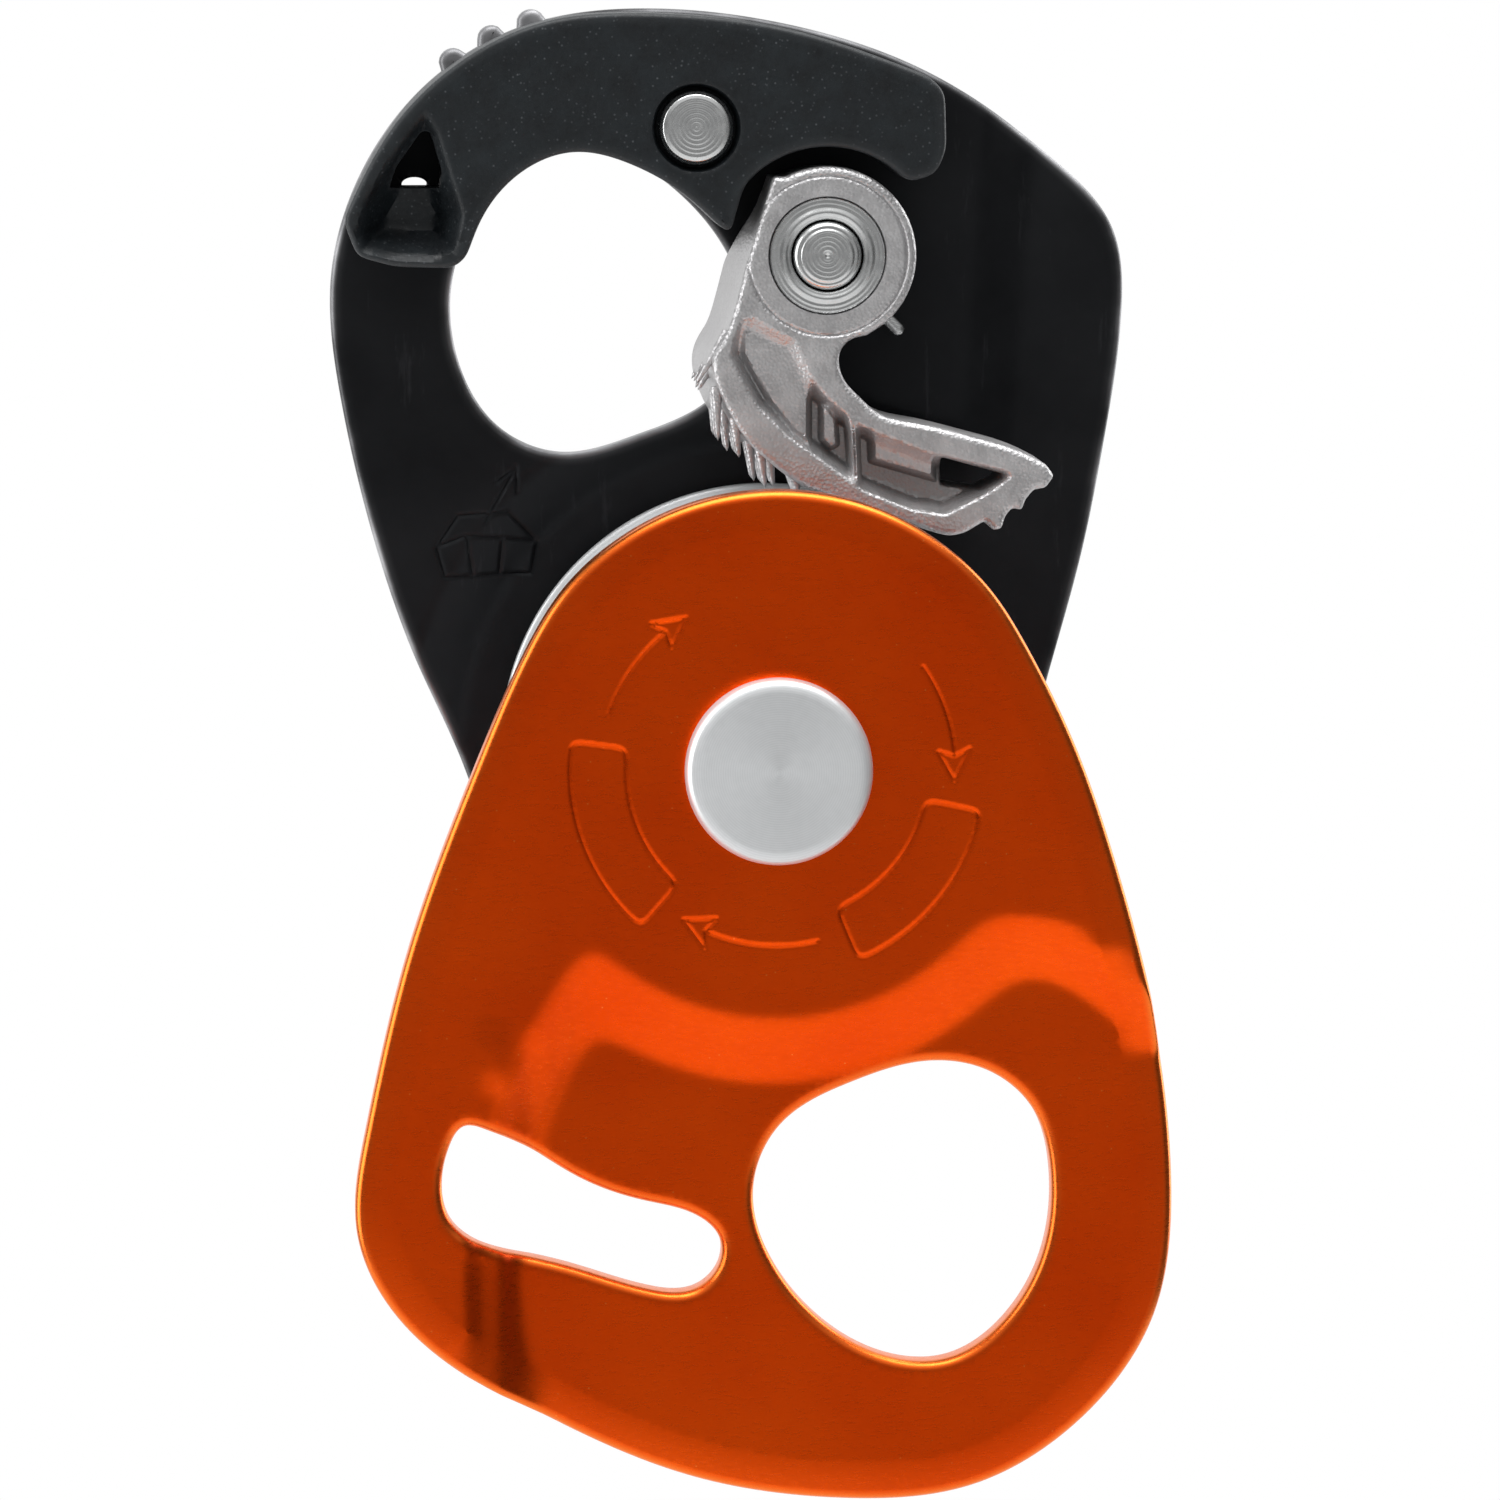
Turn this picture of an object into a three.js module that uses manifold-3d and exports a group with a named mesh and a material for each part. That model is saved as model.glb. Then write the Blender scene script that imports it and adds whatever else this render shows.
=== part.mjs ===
// Pocket rope grab: a swing-cheek pulley with a toothed cam that lets the rope run one way only.
// Millimetres, +Z up, the sheave turns about Y. The swing cheek is drawn turned open.
import * as THREE from 'three';
import { mergeVertices } from 'three/addons/utils/BufferGeometryUtils.js';
import Module from 'manifold-3d';

// ---- driving dimensions --------------------------------------------------------------------

const GAP = 0.3;                                // clearance between touching pieces

const EYE_TO_AXLE = { x: 10.4, z: -26.8 };      // main axle, seen from the attachment eye
const CAM_AXIS = { x: 3.2, z: 29.8 };           // cam axis, seen from the main axle

const PLATE = 2.4;                              // sheet thickness of both cheeks
const CHEEK_FACE = 6.6;                         // inner face of a cheek beside the sheave
const JOGGLE = 2.0;                             // how far the cheeks step in at the eye
const JOGGLE_RAMP = 3.4;                        // width of that step

const SHEAVE_RADIUS = 15.9;
const SHEAVE_HALF_WIDTH = 5.6;
const GROOVE_RADIUS = 4.75;                     // round rope groove, seen in section
const TREAD_RADIUS = 12.5;

const RACE_HALF_WIDTH = 3.5;
const RACE_OUTER = 9.5;
const RACE_INNER = 4.3;
const BALL_RADIUS = 1.2;
const BALL_PITCH = 6.75;
const BALL_COUNT = 9;

const AXLE_RADIUS = 4.0;
const AXLE_BORE = 2.5;
const CAP_RADIUS = 5.5;

const CAM_FRONT = -4.2;
const CAM_REAR = 3.2;
const CAM_HUB_RADIUS = 5.3;
const CAM_BORE = 3.1;
const CAM_PIN_RADIUS = 2.05;

const INSERT_FRONT = -4.2;
const INSERT_REAR = 4.3;
const RIVET = { x: -4.5, z: 37.3, head: 2.2, shank: 1.2 };

const HEEL_RADIUS = 17.4;                       // round end of the fixed cheek under the sheave
const CROWN_RADIUS = 16.3;                      // round end of the swing cheek over the sheave

// ---- finishes ------------------------------------------------------------------------------

const finish = (color, metalness, roughness) =>
  new THREE.MeshStandardMaterial({ color, metalness, roughness });
const blackAnodised = finish(0x1c1d1f, 0.6, 0.5);
const orangeAnodised = finish(0xb83406, 0.85, 0.38);
const blackNylon = finish(0x262b2f, 0, 0.7);
const palePlastic = finish(0xb9b6ae, 0, 0.5);
const greyAlloy = finish(0xc6c9cc, 0.8, 0.42);
const castSteel = finish(0xa4a2a4, 0.85, 0.45);
const turnedSteel = finish(0xc8c8c8, 0.95, 0.28);
const bronze = finish(0xa87d42, 0.9, 0.4);

// ---- joining and cutting -------------------------------------------------------------------

const wasm = await Module();
wasm.setup();

function signedVolume(geometry) {
  const p = geometry.attributes.position;
  const index = geometry.index.array;
  const [a, b, c] = [new THREE.Vector3(), new THREE.Vector3(), new THREE.Vector3()];
  let sum = 0;
  for (let i = 0; i < index.length; i += 3) {
    a.fromBufferAttribute(p, index[i]);
    b.fromBufferAttribute(p, index[i + 1]);
    c.fromBufferAttribute(p, index[i + 2]);
    sum += a.dot(b.cross(c)) / 6;
  }
  return sum;
}

// One closed body with merged vertices, its faces turned outwards.
function solid(source) {
  const bare = source.clone();
  bare.deleteAttribute('normal');
  bare.deleteAttribute('uv');
  const merged = mergeVertices(bare, 1e-4);
  const triangles = [];
  const corners = merged.index.array;
  for (let i = 0; i < corners.length; i += 3) {
    const [a, b, c] = [corners[i], corners[i + 1], corners[i + 2]];
    if (a !== b && b !== c && c !== a) triangles.push(a, b, c);
  }
  merged.setIndex(triangles);
  if (signedVolume(merged) < 0) {
    merged.setIndex(triangles.reverse());
  }
  return new wasm.Manifold(new wasm.Mesh({
    numProp: 3,
    vertProperties: new Float32Array(merged.attributes.position.array),
    triVerts: new Uint32Array(merged.index.array),
  }));
}

function geometryOf(manifold) {
  const mesh = manifold.getMesh();
  const geometry = new THREE.BufferGeometry();
  geometry.setAttribute('position', new THREE.BufferAttribute(new Float32Array(mesh.vertProperties), 3));
  geometry.setIndex(new THREE.BufferAttribute(new Uint32Array(mesh.triVerts), 1));
  geometry.computeVertexNormals();
  return geometry;
}

const joined = (first, ...others) => others.reduce((sum, next) => sum.add(next), first);
const cutBy = (first, ...others) => others.reduce((rest, next) => rest.subtract(next), first);

// ---- shapes --------------------------------------------------------------------------------

const radians = THREE.MathUtils.degToRad;
const polar = (radius, degrees, centre = { x: 0, z: 0 }) => [
  centre.x + radius * Math.cos(radians(degrees)),
  centre.z + radius * Math.sin(radians(degrees)),
];

// Points along an arc, both ends included.
function arc(radius, from, to, steps, centre) {
  return Array.from({ length: steps + 1 }, (_, i) => polar(radius, from + (to - from) * i / steps, centre));
}

// Points along a smooth curve through the given points.
function smooth(points, steps) {
  const curve = new THREE.SplineCurve(points.map(([x, z]) => new THREE.Vector2(x, z)));
  return curve.getSpacedPoints(steps).map(({ x, y }) => [x, y]);
}

// A flat outline in the XZ plane, filled from y = front to y = rear.
function slab(outline, front, rear) {
  const shape = new THREE.Shape(outline.map(([x, z]) => new THREE.Vector2(x, z)));
  const geometry = new THREE.ExtrudeGeometry(shape, { depth: rear - front, bevelEnabled: false });
  return solid(geometry.rotateX(Math.PI / 2).translate(0, rear, 0));
}

// A profile of [radius, y] pairs turned about the Y axis.
function turned(profile, segments = 40, centre = { x: 0, z: 0 }) {
  const points = profile.map(([radius, y]) => new THREE.Vector2(radius, y));
  const closes = profile[0][0] > 0;
  if (closes) points.push(points[0].clone());
  return solid(new THREE.LatheGeometry(points, segments).translate(centre.x, 0, centre.z));
}

const disc = (radius, front, rear, segments, centre) =>
  turned([[0, front], [radius, front], [radius, rear], [0, rear]], segments, centre);

const ring = (inner, outer, front, rear, segments, centre) =>
  turned([[inner, front], [outer, front], [outer, rear], [inner, rear]], segments, centre);

// ---- cheeks --------------------------------------------------------------------------------

const FAR = 70;

// Both cheeks are flat beside the sheave and step in towards the middle at the eye.
// side is -1 for the cheek in front and 1 for the one behind.

// The space inside a dished face: flat as far as rampStart, then JOGGLE nearer the middle.
function insideDish(face, rampStart, side) {
  const profile = [[0, face], [rampStart, face], [rampStart + JOGGLE_RAMP, face - JOGGLE], [FAR, face - JOGGLE],
    [FAR, -FAR], [0, -FAR]];
  return turned(profile.map(([radius, y]) => [radius, side * y]), 72);
}

// The space inside a folded face: it steps in to the right of a walk between two points.
function insideFold(face, [x0, z0], [x1, z1], side, lag) {
  const half = JOGGLE_RAMP / 2;
  const section = [[-FAR, face], [lag - half, face], [lag + half, face - JOGGLE], [FAR, face - JOGGLE],
    [FAR, -FAR], [-FAR, -FAR]];
  const shape = new THREE.Shape(section.map(([across, y]) => new THREE.Vector2(across, side * y)));
  const geometry = new THREE.ExtrudeGeometry(shape, { depth: 2 * FAR, bevelEnabled: false });
  const along = new THREE.Vector3(x1 - x0, 0, z1 - z0).normalize();
  const across = new THREE.Vector3(along.z, 0, -along.x);
  const turn = new THREE.Matrix4().makeBasis(across, new THREE.Vector3(0, 1, 0), along);
  geometry.translate(0, 0, -FAR).applyMatrix4(turn);
  return solid(geometry.translate((x0 + x1) / 2, 0, (z0 + z1) / 2));
}

function steppedSheet(side, rampStart, folds) {
  const lag = 0.6;                                // the inner face steps later, clear of the sheave
  const inside = (face, late) => joined(insideDish(face, rampStart + late, side),
    ...folds.map(([from, to]) => insideFold(face, from, to, side, late)));
  return inside(CHEEK_FACE + PLATE, 0).subtract(inside(CHEEK_FACE, lag));
}

function swingPlate() {
  const crown = arc(CROWN_RADIUS, 140, 40, 16);
  const rightSide = smooth([[12.49, 10.48], [14.6, 7.2], [17.7, 0.8], [19.9, -5.6], [22.2, -14.3], [23.5, -25],
    [22.5, -32.8], [17.9, -39.3], [11.6, -43]], 18);
  const leftSide = smooth([[11.6, -43], [4.2, -43.7], [-4.9, -42.3], [-15, -37.8], [-22.1, -32.6],
    [-24.7, -27.2], [-24.2, -21.5], [-21.6, -10.6], [-17.6, 0.3], [-14.7, 6.9], [-12.49, 10.48]], 28);
  const outline = [...crown, ...rightSide.slice(1), ...leftSide.slice(1, -1)];
  const hole = smooth([[8.8, -17.6], [4.5, -18.8], [0.3, -21.3], [-1.3, -25.1], [-0.2, -29.4], [2.6, -32.9],
    [6.4, -35.1], [10.2, -35.3], [13.8, -32.8], [15.9, -28.8], [16.3, -24.2], [15.2, -20.4], [12.4, -18.1],
    [8.8, -17.6]], 32).slice(1);
  const sheet = steppedSheet(-1, 15.2, [[[-17.8, -37], [-13.6, -14]], [[-10, -6.6], [20, -11.4]]]);
  return cutBy(slab(outline, -12, 0).intersect(sheet), slab(hole, -12, 0), slab(slotOutline(), -12, 0),
    disc(AXLE_RADIUS + GAP, -12, 0, 32));
}

// Curved slot that stays about one radius from the main axle and narrows towards its inner end.
function slotOutline() {
  return smooth([[-18.4, -21], [-16.9, -21.3], [-15.1, -22.2], [-11.7, -24.3], [-7.6, -25.8], [-4.6, -26.7],
    [-3.3, -28], [-3.3, -29.5], [-4.7, -31], [-7.6, -31], [-12.6, -29.5], [-17.5, -28], [-19.2, -26.6],
    [-19.7, -24.6], [-19.3, -22.3], [-18.4, -21]], 34).slice(1);
}

// Outline of the attachment eye.
function eyeOutline() {
  return smooth([[-11.3, 35.7], [-15.2, 34.6], [-17.7, 31.2], [-18.8, 27.0], [-18.2, 22.8], [-16.0, 19.3],
    [-12.2, 17.7], [-7.6, 18.7], [-3.4, 20.7], [-1.2, 24.0], [-2.0, 29.2], [-5.0, 33.1], [-8.0, 35.1],
    [-11.3, 35.7]], 36).slice(1);
}

function fixedPlate() {
  const heel = arc(HEEL_RADIUS, 203, 320, 20);
  const rim = smooth([[13.33, -11.18], [15.2, -5], [16.2, 0], [17.5, 5], [19.2, 11.3], [20.6, 18.4], [21.6, 26],
    [21, 31.1], [17.3, 35.3], [9.6, 40.5], [1.2, 43.3], [-7.4, 44.2], [-14.6, 43.1], [-20.5, 39.4],
    [-24.4, 33.8], [-25.9, 28.4], [-25.4, 21.2], [-23.2, 11.8], [-20.8, 5], [-18.2, -0.9], [-16.02, -6.8]], 48);
  const sheet = steppedSheet(1, 17.6, [[[15.2, 37], [14.2, 22]]]);
  const blank = slab([...heel, ...rim.slice(1, -1)], 0, 12);
  return cutBy(joined(blank, ...gripBumps()).intersect(sheet), slab(eyeOutline(), 0, 12),
    disc(AXLE_RADIUS + GAP, 0, 12, 32), disc(CAM_PIN_RADIUS + GAP, 0, 12, 24, CAM_AXIS),
    disc(RIVET.shank + GAP, 0, 12, 16, RIVET));
}

// Three small grip bumps on the upper edge.
function gripBumps() {
  return [[-18.5, 40.9], [-16.2, 42.2], [-13.9, 43.2]].map(([x, z]) => disc(0.85, 0, 12, 14, { x, z }));
}

// ---- wear insert ---------------------------------------------------------------------------

function eyeInsert() {
  const outer = smooth([[-25.2, 31.9], [-22.4, 37.2], [-18.3, 41.2], [-13.4, 43.5], [-7.4, 44.0], [0.8, 43.1],
    [9.2, 40.3]], 22);
  const nose = [[10.1, 39.4], [10.2, 36], [9.6, 34.6], [8.4, 34.2]];
  const aroundHub = arc(6.4, 42, 140, 10, CAM_AXIS);
  const tail = [[-2.3, 31.9], [-2.4, 31.2], [-2.8, 31.2]];
  const mouth = smooth([[-2.8, 31.2], [-5.2, 33.4], [-8.4, 35.2], [-11.7, 35.9], [-14.8, 34.7], [-17.1, 32],
    [-18, 29.7]], 16);
  const foot = [[-18.8, 29.1], [-22.2, 29.2], [-24.4, 29.8], [-25.2, 31]];
  const outline = [...outer, ...nose, ...aroundHub, ...tail, ...mouth.slice(1), ...foot];
  const pocket = [[-20.3, 37.6], [-22.1, 35.9], [-23.8, 33], [-24.1, 31.2], [-23.6, 30.2], [-19.6, 30],
    [-18.7, 30.5], [-18.5, 32.4], [-19.2, 35.2]];
  return cutBy(slab(outline, INSERT_FRONT, INSERT_REAR), slab(pocket, INSERT_FRONT - 1, INSERT_FRONT + 3),
    disc(RIVET.head + GAP, INSERT_FRONT - 1, INSERT_FRONT + 1.4, 28, RIVET),
    disc(RIVET.shank + GAP, INSERT_FRONT - 1, INSERT_REAR + 1, 20, RIVET));
}

function insertRivet() {
  const back = CHEEK_FACE - JOGGLE + PLATE;
  return turned([[0, INSERT_FRONT], [RIVET.head - 0.4, INSERT_FRONT], [RIVET.head, INSERT_FRONT + 0.35],
    [RIVET.head, INSERT_FRONT + 1.1], [RIVET.shank, INSERT_FRONT + 1.1], [RIVET.shank, back + GAP],
    [RIVET.head, back + GAP], [RIVET.head - 0.5, back + 1.1], [0, back + 1.1]], 28, RIVET);
}

// ---- main axle, bearing and sheave ---------------------------------------------------------

function mainAxle() {
  const rear = CHEEK_FACE + PLATE + GAP;
  return turned([[AXLE_BORE, -8.9], [AXLE_RADIUS, -8.9], [AXLE_RADIUS, rear], [6.2, rear], [6.2, rear + 0.9],
    [5.6, rear + 1.5], [AXLE_BORE, rear + 1.5]], 40);
}

function axleCap() {
  const back = -CHEEK_FACE - PLATE - GAP;
  const front = back - 1.9;
  const shoulder = Array.from({ length: 5 }, (_, i) => {
    const [out, forward] = polar(1, 90 * i / 4);
    return [CAP_RADIUS - 1 + out, front + 1 - forward];
  }).reverse();
  return turned([[0, front], ...shoulder, [CAP_RADIUS, back], [AXLE_BORE - GAP, back], [AXLE_BORE - GAP, -3],
    [0, -3]], 48);
}

// A half circle in section about (radius, 0), opening towards or away from the axle.
function raceway(middle, radius, reach, outwards, steps = 6) {
  return arc(radius, -reach, reach, steps).map(([deep, y]) => [middle + (outwards ? deep : -deep), y]);
}

function sheave() {
  const middle = TREAD_RADIUS + GROOVE_RADIUS;
  const reach = THREE.MathUtils.radToDeg(Math.acos((middle - SHEAVE_RADIUS) / GROOVE_RADIUS));
  const groove = raceway(middle, GROOVE_RADIUS, reach, false, 9);
  const bore = RACE_OUTER + GAP;
  const side = [[bore, 4], [bore + 0.8, 4], [bore + 1.5, SHEAVE_HALF_WIDTH], [14.6, SHEAVE_HALF_WIDTH],
    [15.5, 5.4], [SHEAVE_RADIUS, 5]];
  const front = side.map(([radius, y]) => [radius, -y]);
  return turned([...front, ...groove, ...side.reverse()], 60);
}

const BALL_SEAT = BALL_RADIUS + GAP;

function innerRace() {
  const track = raceway(BALL_PITCH, BALL_SEAT, 60, false);
  return turned([[RACE_INNER, -RACE_HALF_WIDTH], [6, -RACE_HALF_WIDTH], ...track, [6, RACE_HALF_WIDTH],
    [RACE_INNER, RACE_HALF_WIDTH]], 36);
}

function outerRace() {
  const track = raceway(BALL_PITCH, BALL_SEAT, 60, true).reverse();
  return turned([[RACE_OUTER, RACE_HALF_WIDTH], [7.5, RACE_HALF_WIDTH], ...track, [7.5, -RACE_HALF_WIDTH],
    [RACE_OUTER, -RACE_HALF_WIDTH]], 36);
}

function ballPlace(i) {
  const [x, z] = polar(BALL_PITCH, 360 * i / BALL_COUNT);
  return { x, z };
}

function sphere(radius, { x, z }, around = 12) {
  return solid(new THREE.SphereGeometry(radius, around, around / 2 + 2).translate(x, 0, z));
}

function ballCage() {
  const pockets = Array.from({ length: BALL_COUNT }, (_, i) => sphere(BALL_SEAT, ballPlace(i), 10));
  return cutBy(ring(6.3, 7.2, -2.3, 2.3, 36), ...pockets);
}

// ---- cam -----------------------------------------------------------------------------------

const cross = ([x, z]) => [CAM_AXIS.x + x, CAM_AXIS.z + z];

// Cam outline about its own axis: hub, flat, biting face, thumb grip and lever.
function camOutline() {
  const hub = arc(CAM_HUB_RADIUS, -50, 127, 16);
  const face = smooth([[-4.7, -0.9], [-5.9, -4.6], [-6.6, -6.4], [-6.2, -8.1], [-5.3, -9.6], [-4.2, -11.2],
    [-2.4, -12.7], [-0.3, -14.0], [3.8, -15.5], [7.3, -16.6], [8.6, -16.4]], 24);
  const grip = [[9.9, -16.1], [10.4, -16.2], [10.8, -15.4], [11.4, -15.1], [12.1, -14.9], [12.2, -14],
    [13.2, -13.7], [13.5, -13], [13.2, -12.4], [12.5, -12.1]];
  const lever = smooth([[12.5, -12.1], [9.7, -11.3], [7.1, -10.6], [4.5, -9.9], [2.2, -8.9], [1.0, -7.7],
    [0.8, -6.4], [1.7, -5.3], [3.4, -4.06]], 16);
  return [...hub, ...face, ...grip, ...lever.slice(1, -1)].map(cross);
}

// Slender teeth in staggered rows across the biting face, shorter towards the lever.
function camTeeth() {
  const rows = [[-6.2, -5.2], [-6.1, -7.2], [-5.2, -8.9], [-4.2, -10.4], [-2.9, -11.8]];
  const width = CAM_REAR - CAM_FRONT;
  return rows.flatMap(([x, z], row) => {
    const length = 2.9 - 0.35 * row;
    const across = row % 2 ? [0.3, 0.7] : [0.12, 0.5, 0.88];
    return across.map((share) => {
      const cone = new THREE.CylinderGeometry(0.55, 0.12, length, 7);
      cone.rotateX(Math.PI / 2).rotateY(0.12);
      const [tx, tz] = cross([x, z]);
      return solid(cone.translate(tx - 0.1, CAM_FRONT + width * share, tz - length / 2 + 0.5));
    });
  });
}

function toothedCam() {
  const floor = CAM_FRONT + 1.3;
  const pocket = smooth([[-4.8, -3.6], [-2.6, -4.6], [-1.2, -5.2], [-0.6, -8.4], [1.4, -10.4], [5, -11.1],
    [10.4, -12.6], [10.6, -14.0], [7.2, -15.1], [3.2, -14.2], [-0.4, -12.4], [-3.6, -9.4], [-5.3, -6.4],
    [-4.8, -3.6]], 30).slice(1);
  const window = [[6.3, -11.9], [10.6, -13.1], [10.4, -13.6], [6.3, -13.6]];
  const hollow = slab(pocket.map(cross), CAM_FRONT - 1, floor);
  const opening = slab(window.map(cross), CAM_FRONT - 1, CAM_REAR + 1);
  const body = joined(slab(camOutline(), CAM_FRONT, CAM_REAR), ...camTeeth());
  return cutBy(body, hollow, opening, disc(CAM_BORE, CAM_FRONT - 1, CAM_REAR + 1, 32, CAM_AXIS),
    disc(3.7, CAM_FRONT - 1, -3.2, 32, CAM_AXIS), disc(4.9, 0.4, CAM_REAR + 1, 32, CAM_AXIS));
}

function camPin() {
  const back = CHEEK_FACE - JOGGLE + PLATE + GAP;
  return turned([[0, -4.3], [1.6, -4.25], [CAM_PIN_RADIUS, -3.9], [CAM_PIN_RADIUS, back], [3.2, back],
    [2.7, back + 0.9], [0, back + 0.9]], 28, CAM_AXIS);
}

// Torsion spring in the back of the cam, drawn as its outer shape with one free leg.
function camSpring() {
  const coil = ring(3.5, 4.6, 0.8, 4.2, 32, CAM_AXIS);
  const leg = new THREE.CylinderGeometry(0.35, 0.35, 2.9, 10);
  leg.rotateZ(Math.PI / 2).translate(5.5, 3.85, 0).rotateY(radians(50));
  return joined(coil, solid(leg.translate(CAM_AXIS.x, 0, CAM_AXIS.z)));
}

// ---- assembly ------------------------------------------------------------------------------

function assembly() {
  const device = new THREE.Group();
  device.position.set(EYE_TO_AXLE.x, 0, EYE_TO_AXLE.z);
  const add = (name, body, material) => {
    const mesh = new THREE.Mesh(geometryOf(body), material);
    mesh.name = name;
    device.add(mesh);
  };
  const spacerOuter = 6;
  const sealInner = 2.65;
  const sealOuter = 3.15;

  add('fixed_plate', fixedPlate(), blackAnodised);
  add('swing_plate', swingPlate(), orangeAnodised);
  add('eye_insert', eyeInsert(), blackNylon);
  add('insert_rivet', insertRivet(), turnedSteel);

  add('main_axle', mainAxle(), turnedSteel);
  add('axle_cap', axleCap(), greyAlloy);
  add('pivot_washer', ring(RACE_INNER, 7, -6.3, -5.9), palePlastic);
  add('spacer_front', ring(RACE_INNER, spacerOuter, -5.6, -3.8), turnedSteel);
  add('spacer_rear', ring(RACE_INNER, spacerOuter, 3.8, 6.3), turnedSteel);

  add('sheave', sheave(), greyAlloy);
  add('inner_race', innerRace(), turnedSteel);
  add('outer_race', outerRace(), turnedSteel);
  add('bearing_seal_front', ring(6.3, 7.2, -sealOuter, -sealInner), blackNylon);
  add('bearing_seal_rear', ring(6.3, 7.2, sealInner, sealOuter), blackNylon);
  add('ball_cage', ballCage(), bronze);
  for (let i = 0; i < BALL_COUNT; i += 1) {
    add(`bearing_ball_${i + 1}`, sphere(BALL_RADIUS, ballPlace(i)), turnedSteel);
  }

  add('toothed_cam', toothedCam(), castSteel);
  add('cam_pin', camPin(), turnedSteel);
  add('cam_bush', ring(CAM_PIN_RADIUS + GAP, CAM_BORE - GAP, -2.9, 3.1, 28, CAM_AXIS), bronze);
  add('cam_washer_front', ring(CAM_PIN_RADIUS + GAP, 3.4, -4.05, -3.5, 32, CAM_AXIS), turnedSteel);
  add('cam_washer_rear', ring(CAM_PIN_RADIUS + GAP, 3.2, 3.6, 4.3, 28, CAM_AXIS), turnedSteel);
  add('cam_spring', camSpring(), turnedSteel);
  return device;
}

export default assembly();
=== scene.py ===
# %% [markdown]
# # A rope grab, piece by piece
#
# The object is a pocket pulley with a toothed cam. Two aluminium cheeks hold a sheave between them.
# The front cheek turns about the main axle to let a rope in, and the cam lets that rope run one way only.
#
# Every piece below is a surface worked out with numpy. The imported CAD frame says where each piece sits
# and what it moves with, so the only places that are typed in are the details of each shape.

# %% Load the frame
import bmesh
import bpy
import numpy as np
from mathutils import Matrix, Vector
from mathutils.geometry import delaunay_2d_cdt


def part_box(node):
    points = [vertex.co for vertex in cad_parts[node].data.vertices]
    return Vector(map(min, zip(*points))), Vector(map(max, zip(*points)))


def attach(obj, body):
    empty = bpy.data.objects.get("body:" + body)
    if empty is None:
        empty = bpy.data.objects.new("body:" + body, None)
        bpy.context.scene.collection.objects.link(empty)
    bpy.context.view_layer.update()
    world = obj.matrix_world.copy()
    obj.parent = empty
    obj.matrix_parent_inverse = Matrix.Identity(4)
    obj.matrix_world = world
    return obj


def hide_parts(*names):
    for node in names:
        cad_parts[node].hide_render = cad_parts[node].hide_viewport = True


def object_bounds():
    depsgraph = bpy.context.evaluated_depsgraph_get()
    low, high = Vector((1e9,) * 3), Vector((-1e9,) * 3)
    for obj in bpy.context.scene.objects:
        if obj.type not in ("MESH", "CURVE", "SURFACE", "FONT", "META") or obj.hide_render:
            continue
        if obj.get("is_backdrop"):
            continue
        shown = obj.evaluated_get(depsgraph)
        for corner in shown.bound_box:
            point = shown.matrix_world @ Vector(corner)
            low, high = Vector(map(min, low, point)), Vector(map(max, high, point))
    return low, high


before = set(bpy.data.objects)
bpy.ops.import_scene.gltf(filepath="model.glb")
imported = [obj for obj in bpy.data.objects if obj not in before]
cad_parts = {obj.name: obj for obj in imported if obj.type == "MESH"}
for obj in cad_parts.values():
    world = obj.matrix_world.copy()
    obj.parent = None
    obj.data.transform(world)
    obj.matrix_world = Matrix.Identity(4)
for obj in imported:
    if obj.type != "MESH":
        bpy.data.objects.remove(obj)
cad_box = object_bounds()
print("CAD box", cad_box)


def middle(node):
    """Half way between a node's lowest and highest corners."""
    low, high = np.array(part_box(node))
    return (low + high) / 2


MM = 0.001
AXLE = middle("axle_cap") * [1, 0, 1]
CAM = (middle("cam_pin") - AXLE)[[0, 2]] / MM
RIVET = (middle("insert_rivet") - AXLE)[[0, 2]] / MM
print("main axle", AXLE.round(4), "cam axis, mm from it", CAM.round(2))

# %% [markdown]
# ## The camera
#
# The shapes below are drawn in millimetres about the main axle, as a maker would dimension them.
# A long lens from half a metre away keeps the cheeks free of distortion. It stands a little to the
# left of the object and a little above it, so the left flanks and the tops of the edges show.

# %% Camera
AZIMUTH, ELEVATION, DISTANCE = np.radians(-3.0), np.radians(5.5), 0.5
look_at = AXLE + np.array([-1.145, 0.086, 0.268]) * MM
level_part = np.cos(ELEVATION)
away = np.array([np.sin(AZIMUTH) * level_part, -np.cos(AZIMUTH) * level_part, np.sin(ELEVATION)])

lens = bpy.data.cameras.new("camera")
lens.lens, lens.sensor_width = 201.6, 36
camera = bpy.data.objects.new("camera", lens)
camera.location = look_at + away * DISTANCE
camera.rotation_euler = Vector(-away).to_track_quat("-Z", "Y").to_euler()
bpy.context.scene.collection.objects.link(camera)
bpy.context.scene.camera = camera
bpy.context.scene.view_settings.view_transform = "Standard"
print("camera at", tuple(round(c, 3) for c in camera.location))

# %% [markdown]
# ## The studio
#
# Bright metal shows its surroundings, so the room matters as much as the lamps. Here the room is a pale
# floor, a soft box above, two beside, a white screen behind and a grey front that darkens to the sides.
# The front leaves the flat faces calm, the dark sides draw a line along every rounded edge, and beyond
# that line each edge glances the white screen. Slopes catch the floor or the lamps.

# %% Room and lamps
def area_light(name, place, size, power):
    """A soft rectangular lamp that faces the object."""
    lamp = bpy.data.lights.new(name, "AREA")
    lamp.shape, lamp.size, lamp.size_y, lamp.energy = "RECTANGLE", size[0], size[1], power
    light = bpy.data.objects.new(name, lamp)
    light.location = AXLE + np.array(place)
    light.rotation_euler = (-Vector(place)).to_track_quat("-Z", "Y").to_euler()
    bpy.context.scene.collection.objects.link(light)


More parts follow.
